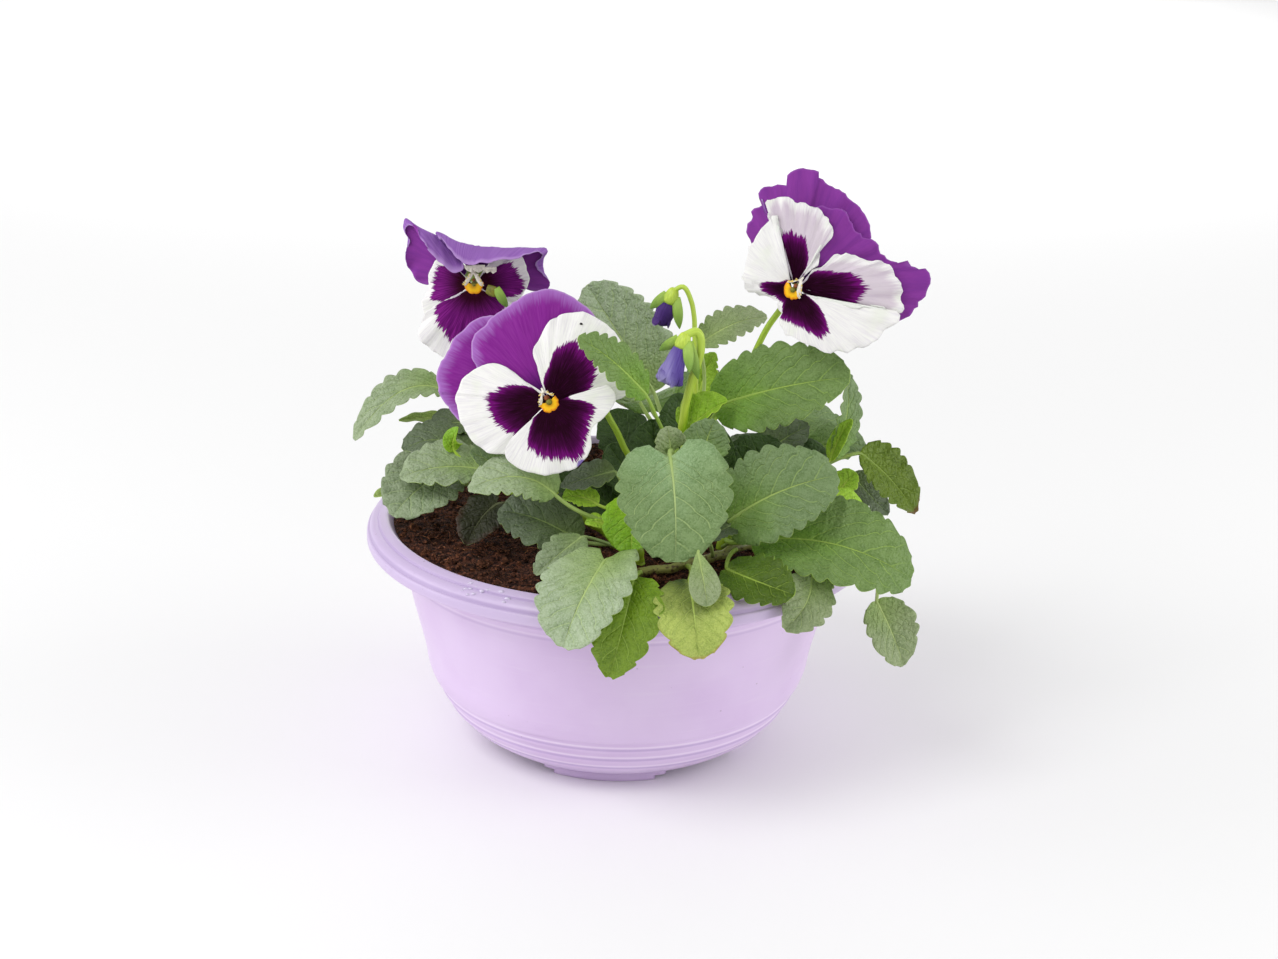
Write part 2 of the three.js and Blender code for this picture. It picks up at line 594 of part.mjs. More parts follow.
// Flowers. Petal rims are [right, up, forward] from the eye, in the flower's own frame.
const FLOWERS = {
  flower_front: {
    eye: [-31, -58, 173], facing: [-0.1, -0.97, 0.22], on: 'stem_centre', at: 0.4,
    stalk: [[6, -38, 138], [-4, -42, 158], [-16, -40, 176]],
    petals: {
      petal_top_right: {
        violet: true,
        rim: [
          [-6, 2, -4], [-20, 5, -6], [-32, 12, -8], [-35, 22, -9], [-30, 30, -10], [-21, 38, -11],
          [-8, 45, -12], [3, 45, -12], [14, 38, -11], [18, 29, -11], [11, 16, -8], [2, 5, -5],
        ],
      },
      petal_top_left: {
        violet: true,
        rim: [
          [-5, -2, -6], [-22, -7, -9], [-38, -11, -12], [-46, -4, -14], [-50, 4, -15], [-48, 14, -16],
          [-42, 25, -17], [-32, 33, -17], [-21, 31, -14], [-13, 16, -10], [-3, 4, -6],
        ],
      },
      petal_left: {
        rim: [
          [-3, 3, -2], [-10, 7, -3], [-19, 13, -4], [-27, 14, -5], [-35, 9, -6], [-40, 2, -7],
          [-39, -6, -7], [-33, -18, -6], [-25, -23, -5], [-18, -23, -4], [-8, -10, -2], [-3, -3, -1],
        ],
      },
      petal_right: {
        rim: [
          [-2, 4, -3], [-5, 12, -4], [-7, 20, -5], [-3, 31, -6], [7, 37, -7], [20, 34, -8], [28, 26, -9],
          [32, 14, -9], [31, 4, -8], [21, 0, -5], [10, -1, -3], [2, 1, -2],
        ],
      },
      petal_bottom: {
        rim: [
          [-2, -3, 0], [-8, -10, 1], [-17, -21, 2], [-15, -26, 2], [-5, -30, 3], [6, -29, 3], [13, -26, 3],
          [18, -18, 2], [18, -11, 2], [24, -4, 1], [28, 3, 0], [25, 7, -1], [19, 6, -1], [11, 1, 0],
          [3, -1, 0],
        ],
      },
    },
  },
  flower_left: {
    eye: [-66, -8, 210], facing: [-0.1, -0.97, 0.1], on: 'stem_left', at: 0.55,
    stalk: [[-46, -8, 150], [-58, 2, 185], [-63, 8, 203]],
    petals: {
      petal_top_left: {
        violet: true, claw: [[-6, 1, -5], [-4, 5, -5]],
        crest: [
          [-13, 0, -7], [-16, 3, -8], [-24, 10, -10], [-30, 23, -11], [-23, 22, -10], [-18, 21, -10],
          [-14, 20, -10], [-11, 17, -10], [-7, 9, -8],
        ],
        rim: [
          [-18, -1, -8], [-25, -1, -9], [-32, 10, -10], [-32, 21, -9], [-25, 18, 3], [-18, 12, 7],
          [-10, 7, 9], [-6, 8, 7], [-5, 10, 2],
        ],
      },
      petal_top_right: {
        violet: true, claw: [[-2, 6, -5], [3, 5, -5]],
        crest: [
          [-5, 11, -8], [-7, 20, -10], [1, 20, -11], [10, 18, -11], [18, 17, -11], [27, 16, -11],
          [26, 9, -11], [20, 7, -9], [13, 5, -8],
        ],
        rim: [
          [-4, 12, 0], [-11, 19, -3], [0, 12, 11], [11, 11, 11], [19, 13, 10], [25, 16, 3], [31, 14, -8],
          [31, 1, -9], [23, -2, -10],
        ],
      },
      petal_left: {
        rim: [
          [-3, 1, -2], [-9, 6, -3], [-16, 9, -4], [-19, 6, -5], [-22, -4, -5], [-22, -14, -4],
          [-16, -12, -3], [-10, -7, -2], [-4, -3, -1],
        ],
      },
      petal_right: {
        rim: [
          [2, 2, -2], [6, 8, -3], [13, 12, -4], [19, 12, -5], [22, 6, -6], [22, -2, -6], [19, -6, -5],
          [14, -9, -4], [9, -6, -2], [3, -1, -1],
        ],
      },
      petal_bottom: {
        rim: [
          [-2, -3, 0], [-10, -7, 1], [-18, -12, 2], [-23, -19, 3], [-21, -25, 4], [-13, -32, 4],
          [-3, -35, 3], [8, -29, 2], [15, -20, 0], [16, -12, -1], [11, -6, -1], [3, -3, 0],
        ],
      },
    },
  },
  flower_right: {
    eye: [72, -30, 217], facing: [-0.38, -0.92, 0.08], on: 'stem_centre', at: 0.84,
    stalk: [[42, -19, 158], [53, -16, 175], [61, -15, 193], [70, -15, 207]],
    petals: {
      petal_top_left: {
        violet: true,
        rim: [
          [-6, 4, -6], [-16, 9, -8], [-24, 15, -10], [-26, 25, -12], [-22, 34, -14], [-24, 37, -15],
          [-18, 42, -16], [-13, 42, -17], [-5, 49, -18], [1, 46, -19], [15, 36, -19], [23, 31, -19],
          [26, 22, -17], [20, 13, -13], [3, 2, -6],
        ],
      },
      petal_top_right: {
        violet: true,
        rim: [
          [0, 5, -4], [1, 21, -6], [7, 33, -9], [14, 32, -11], [22, 23, -12], [28, 21, -14], [37, 12, -16],
          [51, 10, -18], [51, 3, -18], [48, -3, -17], [42, -10, -15], [27, -8, -10], [5, -1, -4],
        ],
      },
      petal_left: {
        rim: [
          [-4, 3, -2], [-9, 10, -2], [-8, 20, -2], [-11, 29, -2], [-16, 35, -3], [-9, 37, -4], [-3, 36, -5],
          [5, 34, -6], [12, 25, -6], [10, 18, -5], [6, 11, -4], [1, 4, -2],
        ],
      },
      petal_right: {
        rim: [
          [3, 3, -3], [7, 10, -4], [15, 15, -5], [23, 17, -6], [32, 15, -8], [39, 13, -9], [44, 5, -10],
          [45, -5, -9], [34, -5, -7], [24, -5, -5], [14, -4, -4], [5, -2, -2],
        ],
      },
      petal_bottom: {
        rim: [
          [-4, -1, 0], [-8, 11, -1], [-10, 20, -1], [-11, 30, -1], [-17, 22, 0], [-21, 12, 1], [-23, 4, 2],
          [-20, -3, 2], [-13, -5, 1], [-6, -6, 0], [-5, -12, 2], [-2, -17, 4], [9, -21, 5], [22, -24, 4],
          [33, -20, 1], [40, -14, -2], [45, -6, -5], [29, -5, -2], [15, -6, 0], [4, -4, 1],
        ],
      },
    },
  },
};

// Buds: the corolla's top and tip, its swelling as [radius, share of length], and its stalk.
const BUDS = {
  bud_upper: {
    on: 'stem_centre', at: 0.98, stalkRadius: 1.1,
    stalk: [[32, -14, 165], [31, -10, 185], [29, -8, 204], [25, -8, 211]],
    corolla: [[19, -7, 203], [18, -6, 193]], sepals: [[11, -9, 201], [24, -12, 193], [17, 1, 199]],
    swell: [[0, 0], [3.2, 0.02], [4, 0.35], [2.8, 0.8], [0, 1]],
  },
  bud_lower: {
    on: 'stem_centre', at: 0.86, stalkRadius: 1.8,
    stalk: [[26, -34, 156], [29, -33, 175], [33, -33, 190], [31, -34, 198]],
    corolla: [[24, -36, 191], [19, -38, 176]], sepals: [[28, -44, 183], [32, -38, 178], [15, -33, 189]],
    swell: [[0, 0], [3.2, 0.02], [4.6, 0.4], [5.6, 0.85], [4, 0.99], [0, 1]],
  },
};

// ---------------------------------------------------------------- assembly

const part = new THREE.Group();
const planter = new THREE.Group();
planter.position.z = FOOT_HEIGHT;
part.add(planter);

function material(colour, roughness) {
  return new THREE.MeshStandardMaterial({ color: colour, roughness, metalness: 0 });
}

function addPiece(name, geometry, colour, roughness) {
  const mesh = new THREE.Mesh(geometry, material(colour, roughness));
  mesh.name = name;
  planter.add(mesh);
}

function grownStem({ radius, route }) {
  return { radius, curve: new THREE.CatmullRomCurve3(route.map(point)), steps: 3 * route.length };
}

function shootGeometry(shoot, stem) {
  const blades = shoot.leaves.map((leaf) => {
    const start = stem.curve.getPoint(leaf.at);
    const out = point(leaf.rib[0]).sub(start).normalize();
    return leafGeometry(leaf, { start, out });
  });
  return joined([tube(stem.curve, stem.radius, stem.steps), ...blades]);
}

const stems = {};
for (const [name, stem] of Object.entries({ ...STEMS, ...SHOOTS })) {
  stems[name] = grownStem(stem);
}

addPiece('bowl', bowlGeometry(), COLOURS.bowl, 0.35);
addPiece('potting_soil', soilGeometry(Object.values(stems)), COLOURS.soil, 0.95);

for (const name of Object.keys(STEMS)) {
  const { curve, radius, steps } = stems[name];
  addPiece(name, tube(curve, radius, steps), COLOURS.stem, 0.55);
}

for (const [name, shoot] of Object.entries(SHOOTS)) {
  addPiece(name, shootGeometry(shoot, stems[name]), COLOURS.leaf, 0.6);
}

for (const [name, leaf] of Object.entries(LEAVES)) {
  const target = point(leaf.via ?? leaf.rib[0]);
  const root = onBark(stems[leaf.on], leaf.at, target, PETIOLE_RADIUS);
  const colour = leaf.young ? COLOURS.youngLeaf : COLOURS.leaf;
  addPiece(name, leafGeometry(leaf, root), colour, 0.6);
}

for (const [name, flower] of Object.entries(FLOWERS)) {
  const frame = flowerFrame(flower);
  const root = onBark(stems[flower.on], flower.at, point(flower.stalk[0]), STALK_RADIUS);
  addPiece(`${name}_stalk`, flowerStalkGeometry(flower, frame, root.start), COLOURS.stem, 0.55);
  for (const [petalName, petal] of Object.entries(flower.petals)) {
    const colour = petal.violet ? COLOURS.violet : COLOURS.white;
    addPiece(`${name}_${petalName}`, petalGeometry(petal, frame), colour, 0.7);
  }
}

for (const [name, bud] of Object.entries(BUDS)) {
  const root = onBark(stems[bud.on], bud.at, point(bud.stalk[0]), bud.stalkRadius);
  addPiece(`${name}_stalk`, budStalkGeometry(bud, root.start), COLOURS.stem, 0.55);
  addPiece(`${name}_corolla`, budCorollaGeometry(bud), COLOURS.bud, 0.7);
}

export default part;
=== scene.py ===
"""The looks of a flowering pansy in a lilac bowl planter.

Tables are in millimetres, with heights from the bowl's base, which its foot pads hold FOOT_HEIGHT
above the floor. Petal outlines are in the flower's own frame: right, up and forward from its eye.
"""
import itertools
import math

import bpy
import numpy as np
from mathutils import Matrix, Vector


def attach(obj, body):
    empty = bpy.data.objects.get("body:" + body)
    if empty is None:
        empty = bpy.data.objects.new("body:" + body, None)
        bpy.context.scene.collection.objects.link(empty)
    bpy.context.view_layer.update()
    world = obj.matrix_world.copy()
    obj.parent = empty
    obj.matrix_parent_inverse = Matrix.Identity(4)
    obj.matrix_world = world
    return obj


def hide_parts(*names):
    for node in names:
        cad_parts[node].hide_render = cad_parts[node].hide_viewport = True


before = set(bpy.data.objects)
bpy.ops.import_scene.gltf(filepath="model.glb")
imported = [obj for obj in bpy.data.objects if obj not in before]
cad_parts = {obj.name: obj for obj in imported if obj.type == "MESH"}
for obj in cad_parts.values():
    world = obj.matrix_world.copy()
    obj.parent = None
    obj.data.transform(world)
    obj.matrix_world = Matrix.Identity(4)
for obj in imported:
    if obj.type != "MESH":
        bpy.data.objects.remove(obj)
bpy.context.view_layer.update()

MM = 0.001
PER_METRE = 1000.0
FOOT_HEIGHT = 3.6
STALK_RADIUS = 1.4
CALYX_BACK = 11.0
SEPAL_REACH = 11.0
BUD_CALYX_LENGTH = 6.0
BOWL_SIDES = 208
PETAL_GRID = (36, 88)
TUBE_STEPS = 70


def points(text):
    """The rows of numbers in text such as "1 2 3, 4 5 6"."""
    return [[float(number) for number in row.split()] for row in text.split(",")]


# ---------------------------------------------------------------- tables

# The radius of a stem and its route up from the soil.
STEMS = {
    "stem_left": (2, points("0 -34 88, -4 -36 104, -24 -36 116, -46 -27 120, -60 -16 124")),
    "stem_front": (2.2, points("10 -54 88, 8 -56 104, 6 -56 115, 6 -52 127")),
    "stem_centre": (2.6, points("25 -30 88, 25 -30 106, 27 -28 125, 28 -24 140, 29 -20 152")),
    "stem_right": (2.3, points("44 -34 88, 46 -34 104, 57 -28 116, 73 -14 123, 86 -4 127")),
    "stem_lying": (2, points("62 -32 90, 57 -38 102.6, 42 -53 103, 24 -66 102.6, 8 -72 102.2")),
}

# A leafy shoot's radius and route, then the share along it, the rib and the width of each leaf.
SHOOTS = {
    "shoot_rear_left": (2, points("-14 8 88, -15 12 104, -28 32 117, -38 48 123"), (
        (0.98, "-46 54 128, -59 63 130, -73 71 119", 30),
        (0.9, "-38 62 126, -40 80 127, -42 98 114", 32),
        (0.8, "-28 56 134, -24 70 142, -18 84 140", 26),
        (0.75, "-46 36 124, -62 38 128, -78 40 121", 28),
    )),
    "shoot_rear_middle": (2.2, points("16 20 88, 16 24 104, 18 42 120, 20 58 127"), (
        (0.98, "14 72 128, 10 90 129, 8 108 116", 34),
        (0.9, "31 66 129, 41 82 130, 50 97 118", 30),
        (0.8, "7 60 138, 1 68 147, -5 76 151", 26),
        (0.7, "29 50 138, 38 52 147, 47 54 151", 24),
    )),
    "shoot_rear_right": (2, points("44 6 88, 46 12 104, 60 28 116, 72 42 121"), (
        (0.98, "82 48 124, 96 54 125, 111 58 113", 30),
        (0.9, "76 58 121, 85 72 122, 94 87 110", 32),
        (0.8, "66 52 130, 68 66 136, 70 80 132", 26),
        (0.75, "78 32 124, 92 31 128, 106 28 121", 24),
    )),
}

# A leaf a row: its node; its stem and the share along it; its blade's start, middle and tip; its width;
# its tint, and where they differ from LEAF, the depth of its base lobes, its teeth a side, how crinkled
# it is and its other traits.
LEAVES = """
leaf_far_left; stem_left 1; -81 20 152, -101 14 153, -122 8 132; 22; sheen 0 8 0.5; face=-0.1 -0.35 0.93
leaf_left_behind; stem_left 0.8; -68 -4 131, -84 -4 137, -98 -6 132; 24; dark 0 8 0.6; face=0 -0.3 0.95
leaf_left_round; stem_left 0.85; -61 -24 130, -79 -27 132, -97 -30 128; 30; sheen 0.05 7 0.8; \
    face=0 -0.35 0.94
leaf_left_drooping; stem_left 0.88; -76 -12 126, -89 -26 122, -100 -36 112; 36; dusk 0 8 0.8; \
    face=-0.2 -0.65 0.73
leaf_on_soil; stem_left 0.62; -54 -40 120, -61 -46 115, -66 -54 106; 20; dirty 0.1 7 1; face=-0.1 -0.65 0.75
leaf_left_pointed; stem_front 0.76; -28 -62 133, -44 -62 141, -65 -60 134; 25; sheen 0 9 0.6; \
    face=-0.05 -0.5 0.86
leaf_left_crinkled; stem_front 0.55; -20 -58 112, -36 -56 120, -53 -48 120; 27; dark 0.08 9 1.2; \
    face=-0.2 -0.6 0.77
leaf_left_small; stem_front 0.36; -16 -69 117, -25 -79 113, -35 -88 107; 16; dusk 0 6 0.7; \
    face=-0.3 -0.6 0.7
leaf_front_left; stem_front 0.62; -6 -88 114, -15 -115 107, -22 -126 91; 38; mist 0.14 8 0.7; \
    face=-0.25 -0.72 0.65; peak=0.38; blunt=0.6; via=2 -72 109
leaf_front_hanging; stem_lying 1; 6 -94 109, 2 -117 100, -3 -121 76; 29; fresh 0 8 0.7; face=-0.1 -0.85 0.5
leaf_bright; stem_front 0.92; 8 -60 131, 5 -67 121, 5 -74 112; 26; bright 0.05 7 0.8; face=-0.1 -0.8 0.5
leaf_front_heart; stem_centre 0.56; 20 -76 156, 22 -87 139, 23 -96 117; 47; heart 0.16 9 0.7; \
    face=0 -0.85 0.5; peak=0.36; blunt=0.55
leaf_behind_heart; stem_centre 0.46; 34 -60 150, 36 -58 158, 39 -56 166; 20; grey 0.05 7 0.5; \
    face=0 -0.9 0.3
leaf_right_high; stem_centre 0.74; 43 -22 162, 69 -28 173, 97 -36 180; 39; green 0.06 10 0.6; \
    face=0.05 -0.75 0.66; blunt=0.6
leaf_beside_buds; stem_centre 0.9; 33 -6 184, 48 0 192, 63 4 195; 17; pale 0 8 0.5; \
    face=0 -0.6 0.8; via=40 2 162
leaf_tall_back; stem_centre 0.7; 14 16 155, -1 12 181, -17 10 206; 40; mist 0 11 0.5; \
    face=0.1 -0.85 0.5; blunt=0.6
leaf_over_petal; stem_centre 0.66; 10 -56 176, -4 -64 193, -19 -68 204; 18; green 0 9 0.5; face=0.2 -0.7 0.6
leaf_right_middle; stem_right 0.35; 47 -66 125, 67 -70 139, 91 -66 146; 39; grey 0.08 10 0.7; \
    face=0 -0.8 0.6; blunt=0.6
leaf_right_low; stem_right 0.25; 57 -64 115, 91 -74 117, 124 -74 103; 43; green 0 11 0.7; \
    face=0.1 -0.6 0.8; peak=0.5; blunt=0.55
leaf_right_hanging; stem_right 0.45; 112 -54 84, 119 -60 72, 125 -62 57; 25; pale 0 6 0.5; \
    face=0.4 -0.8 0.4; via=118 -54 124
leaf_far_right; stem_right 1; 108 4 132, 122 4 120, 135 2 104.5; 27; spotted 0 8 0.7; face=0.5 -0.6 0.62
leaf_right_behind; stem_right 0.75; 87 16 127, 99 16 133, 112 18 130; 20; grey 0.05 7 0.6; face=0.1 -0.6 0.8
leaf_right_edge_on; stem_right 0.93; 94 -8 134, 101 0 152, 99 4 170; 18; grey 0 8 0.5; face=0.75 -0.5 0.3
leaf_right_dark; stem_right 0.7; 66 4 131, 74 8 137, 85 12 142; 20; dark 0.05 7 0.8; face=-0.1 -0.7 0.7
leaf_front_small; stem_lying 0.55; 32 -96 122, 34 -110 115, 36 -118 107; 13; pale 0 0 0.2; \
    face=0 -0.8 0.6; peak=0.65
leaf_front_yellow; stem_lying 0.7; 29 -96 109, 31 -117 102, 33 -121 85; 31; yellow 0 7 0.4; face=0 -0.8 0.6
leaf_front_right; stem_lying 0.4; 45 -80 108, 59 -95 108, 72 -104 107; 24; olive 0 8 0.9; face=0 -0.7 0.7
leaf_right_grey; stem_right 0.3; 81 -76 107, 78 -92 99, 69 -98 89; 22; pale 0 7 0.8; \
    face=0.3 -0.8 0.4; via=78 -60 112
"""

# Small leaves that stand for no node, in rows as above without the node.
SMALL_LEAVES = {
    "small_leaves_left": """
stem_left 0.95; -73 32 134, -89 28 137, -103 24 136; 7; thin 0 0
stem_left 0.9; -66 10 139, -77 8 141, -86 4 138; 18; dark
stem_left 0.92; -74 -20 137, -74.5 -21 143, -72 -23 149; 9; bright 0 0
stem_left 0.98; -99 -18 118, -105 -19 116.5, -110 -20 115; 6; thin 0 0
stem_left 0.7; -50 -34 133, -58 -34 138, -66 -34 142; 16; grey
stem_left 0.6; -46 -18 126, -56 -12 132, -66 -8 134; 24; deep
stem_left 0.4; -22 -26 122, -34 -22 128, -46 -20 128; 26; deep
""",
    "small_leaves_centre": """
stem_front 0.9; -10 -54 126, -18 -52 129, -25 -52 128; 12; lit
stem_front 0.85; -6 -60 119, -11 -61 121, -15 -60 120; 8; lit 0 0
stem_front 0.95; -3 -50 140, -13 -50 137, -26 -48 132; 16; dark
stem_centre 0.8; 21 -60 151, 20 -62 158, 19 -60 164; 14; pale
stem_centre 0.8; 34 4 157, 37 8 168, 41 10 176; 12; lit
stem_centre 0.85; 27 -31 151, 35 -32 160, 45 -31 167; 17; lit; fold=0.8
stem_centre 0.3; 12 -20 116, 2 -14 128, -6 -10 138; 26; deep
stem_centre 0.3; 20 -8 118, 16 -2 132, 14 4 146; 30; deep
stem_centre 0.35; 32 -12 120, 38 -6 134, 44 -2 146; 30; deep
stem_centre 0.3; -2 -26 112, -14 -22 120, -28 -18 122; 26; deep
stem_centre 0.45; 30 0 128, 28 6 142, 24 12 156; 28; deep
stem_centre 0.4; 8 0 124, 0 8 136, -10 14 144; 28; deep
""",
    "small_leaves_right": """
stem_right 0.96; 93 -10 133, 97 -10 144, 102 -8 152; 8; lit 0 0
stem_right 0.6; 65 2 124, 57 8 130, 51 14 136; 22; dark
stem_right 0.95; 95 -20 119, 100 -18 126, 104 -16 130; 13; lit
stem_right 0.9; 91 -30 119, 99 -28 121, 107 -26 118; 12; lit
stem_right 0.98; 106 14 118, 114 14 109, 124 14 99; 16; dark; face=0.4 -0.6 0.6
stem_right 0.2; 49 -62 121, 43 -70 122, 38 -76 119; 12; dark
stem_right 0.5; 56 -16 120, 62 -8 132, 68 0 140; 30; deep
stem_right 0.35; 48 -22 116, 52 -14 128, 56 -8 138; 28; deep
stem_right 0.7; 74 -6 124, 84 0 130, 94 4 132; 24; deep
stem_right 0.25; 56 -40 110, 66 -44 116, 76 -46 116; 22; deep
""",
}

